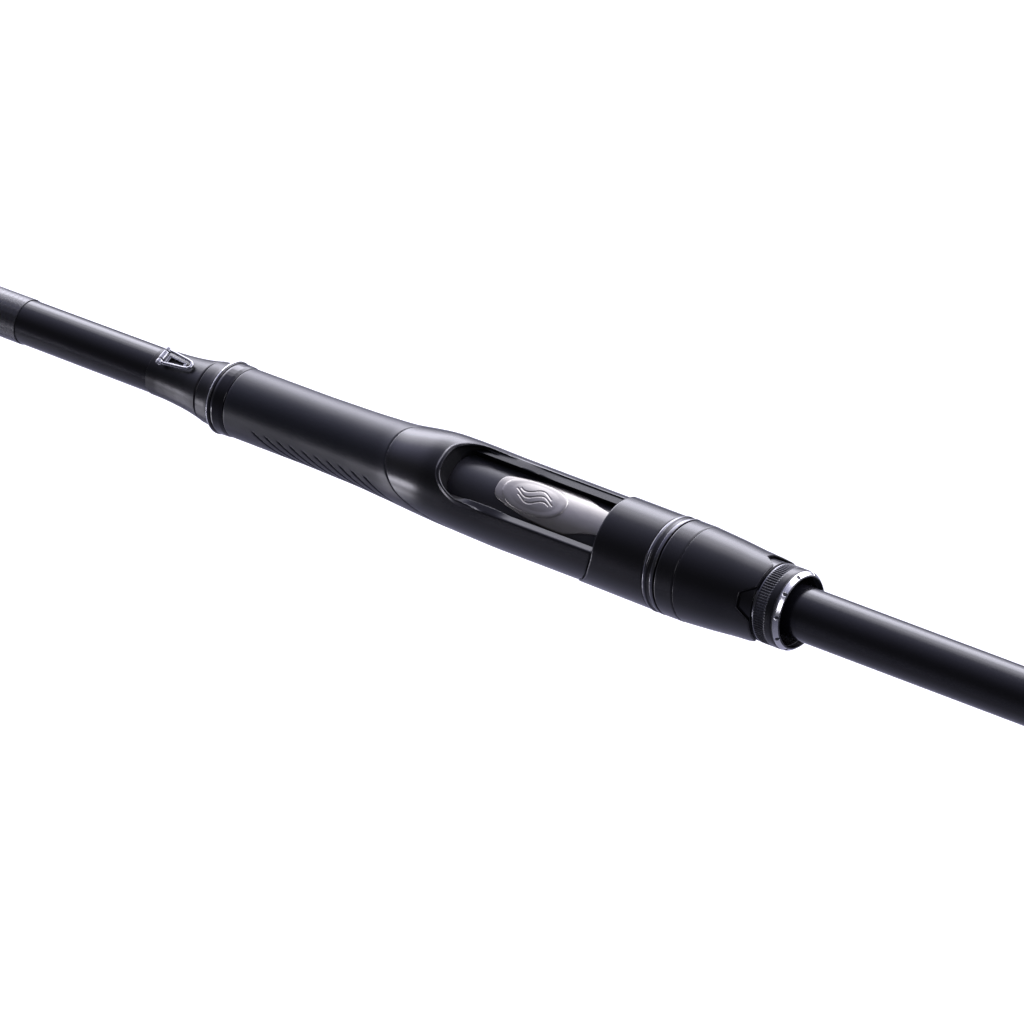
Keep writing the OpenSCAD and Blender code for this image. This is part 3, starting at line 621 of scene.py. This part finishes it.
def badge_plate():
    """The plate in the window, with a raised oval and three plain waves cut into it."""
    f = Field((SEAT - 50.5, -7.6, 6.9), (SEAT + 3.4, 7.6, 11.5), 0.16)
    x, y = f.x - SEAT, f.y
    half = smooth_curve([(4, 3.4)] + PLATE_SIDE[2:], 0.7)(x)
    plan = smax((np.abs(y) - half) * 0.93, x - 2.6, 2.6)
    plan = smax(plan, -50 - x, 0.4)
    r = ring_dist(f)
    plate = smax(plan, r - 10.74, 0.45)
    oval = (np.sqrt((np.abs(x + 11.2) / 11.3) ** 2.3 + (np.abs(y) / 5.35) ** 2.3) ** (2 / 2.3) - 1) * 4
    boss = smax(oval, r - 11.04 + 0.1 * np.clip(-oval - 0.4, 0, 0.6) / 0.6, 0.2)
    plate = smin(plate, boss, 0.1)
    for off in (-1.6, 0.0, 1.6):
        wave = off + 0.95 * np.sin((x + 11.2) * 0.6 + off * 0.4)
        cut = np.sqrt(((y - wave) * 0.86) ** 2 + (r - 11.0) ** 2) - 0.24
        cut = np.maximum(cut, np.abs(x + 11.2) - 7 + abs(off) * 0.8)
        plate = smax(plate, -cut, 0.1)
    plate = np.maximum(plate, PIPE_BORE - r)
    v, q, g = f.mesh(plate)
    add_mesh("badge_plate_relief", v, q, M["badge"], BUTT, ["badge_plate"], g)


NOTCHES, NOTCH_TURN = 4, -36.5  # notches in the nut's edge, and the first one's angle


def nut_barrel():
    """The nut's flaring barrel, with notches in its rear edge."""
    f = Field((SEAT - 95.1, -15.2, -15.2), (SEAT - 67.2, 15.2, 15.2), 0.28)
    prof = smooth_curve(
        [
            (SEAT + a, b)
            for a, b in ((-98, 12.5), (-94.3, 12.75), (-86, 13.2), (-78, 13.9), (-68, 14.55), (-60, 14.6))
        ],
        1.2,
    )
    r = ring_dist(f)
    body = r - prof(f.x)
    body = smax(body, SEAT - 94.3 - f.x, 0.3)
    body = smax(body, f.x - (SEAT - 68), 0.3)
    body = np.maximum(body, np.where(f.x < SEAT - 86, 12.04, 12.34) - r)
    for a in range(NOTCHES):
        t = math.radians(a * 360 / NOTCHES + NOTCH_TURN)
        # the notch's own axes: up is its middle, side is across it
        up = -f.y * math.sin(t) + f.z * math.cos(t)
        side = f.y * math.cos(t) + f.z * math.sin(t)
        half = np.interp(f.x, [SEAT - 95.9, SEAT - 94.3, SEAT - 89.8], [5.9, 5.0, 2.3])
        notch = np.maximum(np.maximum((np.abs(side) - half) * 0.86, f.x - (SEAT - 89.8)), -up)
        body = smax(body, -notch, 0.3)
    v, q, g = f.mesh(body)
    add_mesh("nut_barrel_shell", v, q, M["satin_gloss"], "nut", ["nut_barrel"], g)


# ---- turned pieces of the handle
def at_seat(points):
    """An outline given from the seat's own origin."""
    return [(SEAT + a, b) for a, b in points]


KNURL = (SEAT - 99.3, SEAT - 95.7)
TEETH, TOOTH_DEPTH = 90, 0.26
BEZEL = (SEAT - 103.8, SEAT - 102.35)  # the silver part of the bezel
DIMPLE_X, DIMPLE_PITCH, DIMPLE_TURN = SEAT - 103.2, math.radians(36), math.radians(11)
BEZEL_R = 11.5


def knurl(x, r, ang):
    """Axial teeth around the knurled band."""
    inside = np.clip((x - KNURL[0]) / 0.25, 0, 1) * np.clip((KNURL[1] - x) / 0.25, 0, 1)
    tooth = 0.5 - 0.5 * np.cos(ang * TEETH)
    return np.where(r > 11.7, r - inside * TOOTH_DEPTH * tooth, r)


def knurl_zone(x, r, ang):
    """Dark chrome ahead of the teeth and gloss black behind them."""
    return np.where(x > KNURL[1] + 0.05, 1, np.where(x < KNURL[0] - 0.05, 2, 0)) * (r > 11.5)


def from_dimple(x, ang):
    """Distance along the bezel to the nearest dimple's centre."""
    a = (ang + DIMPLE_TURN) % DIMPLE_PITCH - DIMPLE_PITCH / 2
    return np.hypot(a * BEZEL_R, x - DIMPLE_X)


def dimples(x, r, ang):
    """Ten small dimples around the bezel."""
    d = from_dimple(x, ang)
    return np.where((r > 10.9) & (d < 0.6), r - 0.35 * np.clip((0.6 - d) / 0.2, 0, 1), r)


def bezel_silver_and_dimple_shade(x, r, ang):
    """Silver on the bezel's face, dark on its edges, and painted shade in its dimples: black so that they
    read as holes.
    """
    edge = (x > BEZEL[1]) | (x < BEZEL[0]) | (r < 10.9)
    return np.where(edge | (from_dimple(x, ang) < 0.52), 1, 0)


def trim_zone(x, r, ang):
    """Silver along the crest of the front ring."""
    return np.where((x > SEAT + 108.65) & (x < SEAT + 109.35) & (r > 10), 1, 0)


def ridge_zone(x, r, ang):
    """Chrome on the two crests of the hood's ring."""
    return np.where(r > 14.55, 1, 0)


def butt_ribs(x, r, ang):
    """Ribs around the rubber cap."""
    return np.where(
        (r > 13.5) & (x > 5) & (x < 12), r - 0.25 * (0.5 + 0.5 * np.cos((x - 5) * 2 * math.pi / 1.75)), r
    )


REAR_GRIP_X, REAR_GRIP_LEN = 16.04, 112
WEAVE_X, WEAVE_LEN = SEAT + 188, 170
# pieces that keep their CAD mesh: node, material, slot
CAD_PIECES = [
    ("threaded_barrel", "resin", "black_resin"),
    ("pipe_bushings", "tan", "bushing_tan"),
    ("fixed_hood_liner", "steel", "stainless"),
    ("keeper_pin", "steel", "stainless"),
    ("hood_snap_ring", "steel", "stainless"),
    ("hood_cushion", "soft", "soft_touch"),
    ("nut_thread", "resin", "black_resin"),
]


def rear_handle():
    """The butt cap, the rear grip, their rings and the tube through them."""
    cap = lathe(
        "butt_cap_rubber", [(0, 0), (6, 0), (6, TUBE_BORE), (14, TUBE_BORE), (14, 14), (0, 14)],
        M["rubber"], BUTT, ["butt_cap"], 1.3, shape=butt_ribs, sections=0.2, seg=PLAIN,
    )
    close_poles(cap.data)
    lathe(
        "butt_trim", tube_outline(14.04, 16, 14.1, 14.1, TUBE_BORE, TUBE_BORE), M["satin_silver"], BUTT,
        ["butt_trim_ring"], 0.3,
    )
    x0, r = REAR_GRIP_X, 14.0
    x1 = x0 + REAR_GRIP_LEN
    prof = smooth_curve(
        [
            (x0 - 5, 13.6), (x0, 13.8), (x0 + 8, r), (x0 + 34, r - 0.5), (x0 + 64, r - 2.3),
            (x1 - 26, r - 3.4), (x1 - 10, r - 3.1), (x1 - 4, r - 3.6), (x1, 9.6), (x1 + 4, 9.0),
        ],
        1.6,
    )
    top = [(float(x), float(prof(x))) for x in np.arange(x1, x0 - 0.01, -1.0)]
    top[0], top[-1] = (x1, min(top[0][1], 9.9)), (x0, top[-1][1])
    lathe(
        "rear_grip_foam", [(x0, TUBE_BORE), (x1, TUBE_BORE)] + top, M["foam"], BUTT, ["rear_grip"],
        0.5,
    )
    g0 = 16 + REAR_GRIP_LEN + 0.08
    lathe(
        "rear_grip_check",
        [(g0, TUBE_BORE), (g0 + 3, TUBE_BORE), (g0 + 3, 8.7), (g0 + 1.4, 9.6), (g0, 9.6)],
        M["satin_silver"], BUTT, ["rear_grip_ring"], 0.25,
    )
    lathe(
        "rear_tube_skin", tube_outline(6.04, SEAT - 47, 8, 8, 7.26, 7.26), M["rear_tube"], BUTT,
        ["rear_tube"], 0.2, seg=FINE,
    )


def blank_and_pipe():
    """The butt section's blank, and the pipe that the seat is built on."""
    inner = [(x, r - 1.1) for x, r in BUTT_TAPER]
    lathe(
        "butt_blank_skin", inner + BUTT_TAPER[::-1], M["blank"], BUTT, ["butt_blank"],
        0.1,
    )
    lathe(
        "seat_pipe_skin", at_seat([(-65, 8.06), (66, 8.06), (66, 10.2), (-65, 10.2)]), M["pipe"], BUTT,
        ["seat_pipe"], 0.1, seg=FINE,
    )


def front_rings():
    """The rings in front of the fore grip, down to the taper of thread on the blank."""
    lathe(
        "front_collar_ring",
        at_seat([
            (103.34, 7.2), (108.1, 7.2), (108.1, 10.9), (107.1, 11.15), (104.3, 11.05), (103.34, 10.6)
        ]),
        M["gloss"], BUTT, ["front_collar"], 0.3, seg=FINE,
    )
    lathe(
        "front_trim",
        at_seat([
            (108.14, 7.2), (109.6, 7.2), (109.6, 10.5), (109.25, 11.2), (108.85, 11.45), (108.5, 11.35),
            (108.14, 10.95),
        ]),
        [M["gloss"], M["silver"]], BUTT, ["front_trim_ring"], 0.1, seg=FINE,
        zones=trim_zone,
    )
    lathe(
        "front_cone_check",
        at_seat([(109.64, 7.2), (115.1, 7.2), (115.1, 9.55), (113.5, 9.75), (111, 10.1), (109.64, 10.4)]),
        M["taper"], BUTT, ["front_cone"], 0.5,
    )
    lathe(
        "taper_wrap_epoxy",
        at_seat([(115.14, 7.18), (136, 7.16), (136, 7.3)] + WRAP_TAPER[::-1] + [(115.14, 9.45)]),
        M["taper"], BUTT, ["taper_wrap"], 0.9,
    )


def woven_sleeve():
    """The sleeve of carbon weave over the blank."""
    w0, w1 = WEAVE_X, WEAVE_X + WEAVE_LEN
    lathe(
        "woven_sleeve_skin",
        tube_outline(
            w0, w1, blank_r(w0) + 0.25, blank_r(w1) + 0.25, blank_r(w0) + 0.02, blank_r(w1) + 0.02
        ),
        M["weave"], BUTT, ["woven_sleeve"], 0.08, unroll=6.8, sections=10,
    )


def cad_pieces():
    """Materials for the pieces that keep their CAD mesh."""
    for name, mat, keep in CAD_PIECES:
        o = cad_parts[name]
        o.data.materials.clear()
        o.data.materials.append(M[mat])


def nut_rings():
    """The locking nut's band, core, knurled ring and bezel."""
    lathe(
        "nut_band_ring",
        at_seat([
            (-67.96, 12.34), (-67.6, 12.34), (-67, 12.95), (-66, 12.95), (-66, 13.6), (-63.6, 13.6),
            (-63.6, 12.95), (-61.4, 12.95), (-61.4, 14.4), (-61.8, 14.6), (-67.6, 14.6), (-67.96, 14.4),
        ]),
        M["satin_gloss"], "nut", ["nut_band"], 0.18, seg=FINE,
    )
    lathe(
        "nut_core_sleeve", at_seat([(-94.3, 11.56), (-86.04, 11.56), (-86.04, 12), (-94.3, 12)]),
        M["gloss"], "nut", ["nut_core"], 0.1, seg=FINE,
    )
    lathe(
        "knurled_ring_teeth",
        at_seat([
            (-101.86, 10.7), (-94.34, 10.7), (-94.34, 11.6), (-94.9, 11.6), (-95.2, 12.1), (-101.3, 12.1),
            (-101.86, 12),
        ]),
        [M["dark_metal"], M["dark_chrome"], M["satin_gloss"]], "nut", ["knurled_ring"], 0.12,
        seg=TOOTHED, shape=knurl, sections=0.3, zones=knurl_zone,
    )
    # painted shade: the black resin in the bezel's dimples stands for their shade
    lathe(
        "nut_bezel_ring",
        at_seat([(-104, 10.7), (-101.9, 10.7), (-101.9, 12), (-102.8, 11.95), (-104, 11)]),
        [M["silver"], M["resin"]], "nut", ["nut_bezel"], 0.12, seg=TOOTHED, shape=dimples,
        sections=0.14, zones=bezel_silver_and_dimple_shade,
    )


def hood_ridges():
    """The ring behind the moving hood, with its two crests."""
    lathe(
        "hood_trim_ridges",
        at_seat([
            (-61, 12.64), (-57.04, 12.64), (-57.04, 14.45), (-57.5, 14.7), (-58, 14.7), (-58.4, 14.2),
            (-59.6, 14.2), (-60, 14.7), (-60.6, 14.7), (-61, 14.5),
        ]),
        [M["satin_gloss"], M["dark_chrome"]], "hood", ["hood_trim_ring"], 0.15, seg=FINE,
        zones=ridge_zone,
    )


# ---- hook keeper
def turned_back(v):
    """Points of the keeper, turned to its place around the blank."""
    c, t = math.cos(KEEPER_TURN), math.sin(KEEPER_TURN)
    return np.stack([v[:, 0] + SEAT, v[:, 1] * c - v[:, 2] * t, v[:, 1] * t + v[:, 2] * c], 1)


def turned_normals(g):
    """Normals of the keeper, turned with it."""
    c, t = math.cos(KEEPER_TURN), math.sin(KEEPER_TURN)
    return np.stack([g[:, 0], g[:, 1] * c - g[:, 2] * t, g[:, 1] * t + g[:, 2] * c], 1)


def keeper():
    """The hook keeper's base plate and its folding wire loop."""
    x, z = PIN_X, PIN_Z
    f = Field((NOSE_X + 2.4, -1.9, 5.9), (x + 1.8, 1.9, z + 1.5), 0.07)
    half = np.interp(f.x, [NOSE_X + 3, x - 1.8, x + 2], [0.95, 1.5, 1.5])
    base = smax((np.abs(f.y) - half), slab(f.x, NOSE_X + 3, x + 1.2), 0.4)
    base = smax(base, slab(f.z, 6, 8.5), 0.15)
    rad = np.hypot(f.x - x, f.z - z)
    knuckle = smax(
        np.minimum(rad - 1.1, np.maximum(np.abs(f.x - x) - 1.1, slab(f.z, 6, z))), np.abs(f.y) - 1.5, 0.2
    )
    base = smin(base, knuckle, 0.25)
    slot = np.maximum(np.abs(f.y) - half + 0.55, slab(f.x, NOSE_X + 3.9, x - 1.9))
    base = smax(base, -slot, 0.15)
    base = np.maximum(base, 0.51 - rad)
    wrap = (
        ring_dist(f)
        - np.interp(f.x, [p[0] for p in WRAP_TAPER] + [136], [p[1] + 0.04 for p in WRAP_TAPER] + [7.3])
    )
    base = np.maximum(base, -wrap)
    v, q, g = f.mesh(base)
    add_mesh(
        "keeper_base_plate", turned_back(v), q, M["steel"], BUTT, ["keeper_base"],
        turned_normals(g),
    )
    f = Field((NOSE_X - 0.3, -3.3, z - 1.4), (x + 1.4, 3.3, z + 1.4), 0.08)
    nose = NOSE_X + WIRE_R
    side = [(x, 2.4), (x - 2, 2.4), (nose + 2.4, 1.6), (nose + 0.8, 1.25), (nose + 0.1, 0.5)]
    path = [(a, b, z) for a, b in side] + [(a, -b, z) for a, b in side[::-1]]
    loop = None
    for a, b in zip(path, path[1:]):
        d = segment(f, a, b, WIRE_R)
        loop = d if loop is None else np.minimum(loop, d)
    rad = np.hypot(f.x - x, f.z - z)
    for way in (-1, 1):
        loop = smin(loop, smax(rad - 1.05, np.abs(f.y - way * 2.4) - 0.65, 0.2), 0.2)
    loop = np.maximum(loop, 0.56 - rad)
    v, q, g = f.mesh(loop)
    add_mesh(
        "keeper_wire_loop", turned_back(v), q, M["steel"], "keeper", ["keeper_loop"],
        turned_normals(g),
    )


# ---- guides
def foot_start(g):
    """How far from the ring a guide's foot starts."""
    return g[2] * 0.55 + 1


def foot_z(x):
    """Height of a foot's middle, on the blank at x."""
    return -(blank_r(x) + FOOT_R + 0.06)


def sides(i):
    """Which sides of the ring have a foot: both on the three largest guides."""
    return (-1, 1) if i < 3 else (-1,)


def guides():
    """The wire frames of the guides, each with its ceramic ring."""
    for i, g in enumerate(GUIDES):
        body = BUTT if i == 0 else TIP
        x, bore, rf, drop, foot = g
        inner = bore + CERAMIC + 0.02
        mid = (inner + rf) / 2
        reach = foot_start(g) + foot + 1
        back = reach if len(sides(i)) == 2 else 2.2
        h = 0.3 if i == 0 else 0.22 if i < 3 else 0.17
        f = Field((x - reach, -rf - 1, -drop - rf - 1), (x + back, rf + 1, -blank_r(x + reach) + 0.6), h)
        r = np.hypot(f.y, f.z + drop)
        ring = (
            np.sqrt(
                np.maximum(np.abs(r - mid) - (rf - inner) / 2 + 0.3, 0) ** 2
                + np.maximum(np.abs(f.x - x) - 0.6, 0) ** 2
            )
            - 0.3
        )
        d = ring
        for side in sides(i):
            a = x + side * foot_start(g)
            b = a + side * foot
            d = smin(d, segment(f, (a, 0, foot_z(a)), (b, 0, foot_z(b)), FOOT_R, FOOT_R * 0.7), 0.4)
            for y in (-1, 1):
                t = math.radians(52)
                d = smin(
                    d,
                    segment(
                        f, (a, 0, foot_z(a)), (x, y * mid * math.sin(t), -drop + mid * math.cos(t)), 0.64
                    ),
                    0.5,
                )
        d = np.maximum(d, inner - r)
        v, q, n = f.mesh(d)
        add_mesh(
            f"guide_{i + 1}_wire_frame", v, q, M["guide"], body, [f"guide_{i + 1}_frame"], n
        )
        ceramic(f"guide_{i + 1}_insert", x, -drop, bore, body, f"guide_{i + 1}_ring")


def ceramic(name, x, z, bore, body, node):
    """A guide's ceramic ring."""
    t = np.linspace(0, 2 * math.pi, 24, endpoint=False)
    c = bore + CERAMIC / 2
    outline = [
        (
            x + 1.1 * math.copysign(abs(math.cos(a)) ** 0.8, math.cos(a)),
            c + CERAMIC / 2 * math.copysign(abs(math.sin(a)) ** 0.8, math.sin(a)),
        )
        for a in t
    ]
    lathe(name, outline, M["ceramic"], body, [node], 0.02, seg=96, z=z)


def wraps():
    """Thread wraps under clear coat, one over each foot of each guide."""
    for i, g in enumerate(GUIDES):
        body = BUTT if i == 0 else TIP
        for side in sides(i):
            a = g[0] + side * (foot_start(g) + 2)
            b = g[0] + side * (foot_start(g) + g[4] + 3)
            x0, x1 = min(a, b), max(a, b)
            rb = blank_r(x0)
            zf = foot_z((x0 + x1) / 2)
            f = Field((x0 - 0.5, -rb - 1, zf - 1.8), (x1 + 0.5, rb + 1, rb + 1), 0.22)
            taper = (blank_r(x1) - rb) / (x1 - x0)
            r = ring_dist(f) - (rb + taper * (f.x - x0))
            ridge = 0.02 * np.cos(f.x * 2 * math.pi / 0.9)
            core = r - 0.36
            t = np.clip(f.z / zf, 0, 1)
            rr = (rb + 0.36) * (1 - t) + (FOOT_R + 0.32) * t
            cone = np.hypot(f.y, f.z - np.clip(f.z, zf, 0)) - rr
            foot = smin(core, np.maximum(cone, f.z), 0.3)
            d = smax(foot - ridge, slab(f.x, x0, x1), 0.8)
            d = np.maximum(d, -(r - 0.03))
            v, q, n = f.mesh(d)
            add_mesh(
                f"wrap_{i + 1}_{'front' if side > 0 else 'rear'}", v, q, M["wrap"], body,
                ["butt_wraps" if i == 0 else "tip_wraps"], n,
            )


def tip():
    """The tip section's blank, the rings of its ferrule and the tip top."""
    step_x, end_x = JOINT_X + JOINT_LEN + 2, ROD_LEN - 4
    r_step = float(np.interp(step_x, [p[0] for p in TIP_TAPER], [p[1] for p in TIP_TAPER]))
    lathe(
        "tip_blank_skin",
        [
            (JOINT_X, 5.55), (step_x, 5.33), (step_x + 0.4, r_step - 1.2), (end_x, 0.4), (end_x, 1),
            (JOINT_X + JOINT_LEN, 5.9), (JOINT_X, 6.4),
        ],
        M["blank"], TIP, ["tip_blank"], 0.05, seg=PLAIN,
    )
    lathe(
        "ferrule_trim", tube_outline(JOINT_X, JOINT_X + 4, 7, 6.9, 6.42, 6.42), M["satin_silver"], TIP,
        ["ferrule_ring"], 0.2, seg=PLAIN,
    )
    x0, x1 = JOINT_X + 4.04, JOINT_X + 34
    lathe(
        "ferrule_binding",
        [
            (x0, blank_r(x0) + GAP), (x1, blank_r(x1) + GAP), (x1, blank_r(x1) + 0.15),
            (x1 - 3, blank_r(x1) + 0.45), (x0, 6.85),
        ],
        M["wrap"], TIP, ["ferrule_wrap"], 0.3, seg=PLAIN,
    )
    bore = 2.0
    inner = bore + CERAMIC + 0.02
    r = inner + 0.8
    x, drop = ROD_LEN - 1, 5.2
    f = Field((ROD_LEN - 16.6, -4.6, -drop - 4.8), (ROD_LEN + 0.6, 4.6, 2.6), 0.15)
    tube = smax(ring_dist(f) - 1.85, slab(f.x, ROD_LEN - 16, ROD_LEN - 2.4), 0.3)
    rad = np.hypot(f.y, f.z + drop)
    ring = (
        np.sqrt(
            np.maximum(np.abs(rad - inner - 0.4) - 0.15, 0) ** 2
            + np.maximum(np.abs(f.x - x) - 0.65, 0) ** 2
        )
        - 0.25
    )
    d = smin(tube, ring, 0.3)
    d = smin(d, segment(f, (ROD_LEN - 3.4, 0, -0.6), (x - 0.1, 0, -drop + r - 0.5), 0.75), 0.4)
    for y in (-1, 1):
        d = smin(d, segment(f, (ROD_LEN - 11, y * 0.6, -1.2), (x - 0.1, y * (r - 0.5), -drop), 0.55), 0.4)
    d = np.maximum(d, inner - rad)
    d = np.maximum(d, -np.maximum(ring_dist(f) - 1.06, f.x - (ROD_LEN - 4)))
    v, q, n = f.mesh(d)
    add_mesh("tip_top_wire_frame", v, q, M["guide"], TIP, ["tip_top_frame"], n)
    ceramic("tip_top_insert", x, -drop, bore, TIP, "tip_top_ring")


seat_body()
fore_grip()
moving_hood()
badge_plate()
nut_barrel()
rear_handle()
blank_and_pipe()
front_rings()
woven_sleeve()
cad_pieces()
nut_rings()
hood_ridges()
keeper()
guides()
wraps()
tip()

# ---- camera
# axes of the view: toward the butt, toward the camera's side, and across the rod, upward in the picture
TILT = math.radians(22.5)
ALONG = Vector((-1, 0, 0))
FACE = Vector((0, math.sin(TILT), math.cos(TILT)))
RISE = Vector((0, -math.cos(TILT), math.sin(TILT)))
right = 0.7867 * ALONG + 0.3523 * RISE - 0.5073 * FACE
toward = (0.542 * ALONG + 0.8402 * FACE).normalized()
right = (right - toward * right.dot(toward)).normalized()
up = toward.cross(right)
target = Vector((0.3658, 0, 0)) - RISE * 0.0023  # what the middle of the picture shows
CAMERA_DISTANCE = 2.917
cam_data = bpy.data.cameras.new("camera")
cam_data.lens = 350
cam_data.sensor_width = 36
cam_data.clip_end = 50
cam = bpy.data.objects.new("camera", cam_data)
cam.matrix_world = (
    Matrix.Translation(target + toward * CAMERA_DISTANCE)
    @ Matrix((right, up, toward)).transposed().to_4x4()
)
bpy.context.scene.collection.objects.link(cam)
bpy.context.scene.camera = cam

# ---- floor and light
bpy.context.scene.view_settings.view_transform = "Standard"
floor_mesh = bpy.data.meshes.new("floor")
FLOOR_HALF, FLOOR_Z = 40.0, -1.3
CORNERS = [(-1, -1), (1, -1), (1, 1), (-1, 1)]
floor_mesh.from_pydata([(FLOOR_HALF * a, FLOOR_HALF * b, FLOOR_Z) for a, b in CORNERS], [], [(0, 1, 2, 3)])
floor = bpy.data.objects.new("floor", floor_mesh)
bpy.context.scene.collection.objects.link(floor)
fm, fn, fl, fp = nodes_of("floor_white")
fp.inputs["Base Color"].default_value = (0.3, 0.3, 0.38, 1)
fp.inputs["Roughness"].default_value = 1.0
fp.inputs["Specular IOR Level"].default_value = 0.0
fp.inputs["Emission Color"].default_value = (1, 1, 1, 1)
seen = fn.new("ShaderNodeLightPath")
fl.new(ramp(fn, fl, seen.outputs["Is Camera Ray"], 0, 1, 0.1, 1.0), fp.inputs["Emission Strength"])
floor_mesh.materials.append(fm)


def softbox(name, direction, distance, length, width, radiance, colour, along=Vector((1, 0, 0))):
    """An area light that faces the handle and isn't seen by the camera."""
    data = bpy.data.lights.new(name, "AREA")
    data.shape = "RECTANGLE"
    data.size, data.size_y = length, width
    data.energy = radiance * math.pi * length * width
    data.color = colour
    o = bpy.data.objects.new(name, data)
    d = direction.normalized()
    centre = Vector((0.4, 0, 0))
    x = (along - d * along.dot(d)).normalized()
    o.matrix_world = (
        Matrix.Translation(centre + d * distance) @ Matrix((x, d.cross(x), d)).transposed().to_4x4()
    )
    bpy.context.scene.collection.objects.link(o)
    o.visible_camera = False
    return o


def around(degrees, lean=0.0):
    """A direction around the rod from the camera's side, leaning toward the tip."""
    a = math.radians(degrees)
    return (FACE * math.cos(a) + RISE * math.sin(a)) - ALONG * lean


# one large soft key along the rod, built up so that its edges fade: name, angle, width, radiance
KEYS = [("key_core", 109, 0.62, 3.1), ("key_mid", 104, 1.25, 3.0), ("key_wide", 104, 2.0, 1.3)]
# boxes past the two ends of the rod: name, angle, lean toward the tip, distance, length, width, radiance
ENDS = [
    ("tip_side_core", -63, 1.12, 3.5, 0.6, 0.5, 5.5), ("tip_side_soft", -63, 1.1, 3.5, 0.7, 0.7, 3.4),
    ("tip_side_wide", -75, 1.12, 3.5, 1.7, 0.56, 3.3), ("tip_side_low", -101, 1.05, 2.0, 0.9, 0.3, 2.4),
    ("butt_side", -4, -1.05, 2.0, 0.8, 0.4, 5.0),
]
for name, angle, width, radiance in KEYS:
    softbox(name, around(angle), 1.3, 5.0, width, radiance, (0.96, 0.95, 1.09))
for name, angle, lean, distance, length, width, radiance in ENDS:
    a = math.radians(angle)
    across = RISE * math.cos(a) - FACE * math.sin(a)
    softbox(name, around(angle, lean), distance, length, width, radiance, (0.98, 0.96, 1.08), across)

# the room's brightness around the rod: degrees from the camera's side toward the top of the picture, level
GLOW = [
    (-180, 0.4), (-110, 0.3), (-68, 0.2), (-50, 0.14), (-32, 0.08), (-16, 0.055), (0, 0.08), (16, 0.16),
    (32, 0.3), (46, 0.45), (60, 0.75), (76, 0.95), (110, 1.0), (140, 0.7), (180, 0.5),
]

world = bpy.data.worlds.new("studio")
bpy.context.scene.world = world
world.use_nodes = True
wn, wl = world.node_tree.nodes, world.node_tree.links
sky = wn.new("ShaderNodeTexCoord")


def world_dot(vector):
    """How far a direction in the room points along vector."""
    d = wn.new("ShaderNodeVectorMath")
    d.operation = "DOT_PRODUCT"
    d.inputs[1].default_value = vector
    wl.new(sky.outputs["Generated"], d.inputs[0])
    return d.outputs["Value"]


def world_math(operation, a, b):
    """One step of arithmetic on values or sockets."""
    m = wn.new("ShaderNodeMath")
    m.operation = operation
    for socket, value in zip(m.inputs, (a, b)):
        if isinstance(value, float):
            socket.default_value = value
        else:
            wl.new(value, socket)
    return m.outputs["Value"]


turn = world_math("ARCTAN2", world_dot(RISE), world_dot(FACE))
shade = wn.new("ShaderNodeValToRGB")
shade.color_ramp.interpolation = "B_SPLINE"
stops = shade.color_ramp.elements
while len(stops) < len(GLOW):
    stops.new(0.5)
for stop, (angle, level) in zip(stops, GLOW):
    stop.position = (angle + 180) / 360
    stop.color = (level * 0.94, level * 0.94, min(1, level * (1.35 if level > 0.12 else 1.1)), 1)
wl.new(ramp(wn, wl, turn, -math.pi, math.pi, 0, 1), shade.inputs["Fac"])
lift = ramp(wn, wl, world_dot((1, 0, 0)), 0.56, 0.85, 1.0, 2.6)
back = wn["Background"]
wl.new(shade.outputs["Color"], back.inputs["Color"])
wl.new(lift, back.inputs["Strength"])
bright = wn.new("ShaderNodeBackground")
bright.inputs["Color"].default_value = (1, 1, 1, 1)
bright.inputs["Strength"].default_value = 1.0
path = wn.new("ShaderNodeLightPath")
mixer = wn.new("ShaderNodeMixShader")
wl.new(path.outputs["Is Camera Ray"], mixer.inputs["Fac"])
wl.new(back.outputs["Background"], mixer.inputs[1])
wl.new(bright.outputs["Background"], mixer.inputs[2])
wl.new(mixer.outputs["Shader"], wn["World Output"].inputs["Surface"])
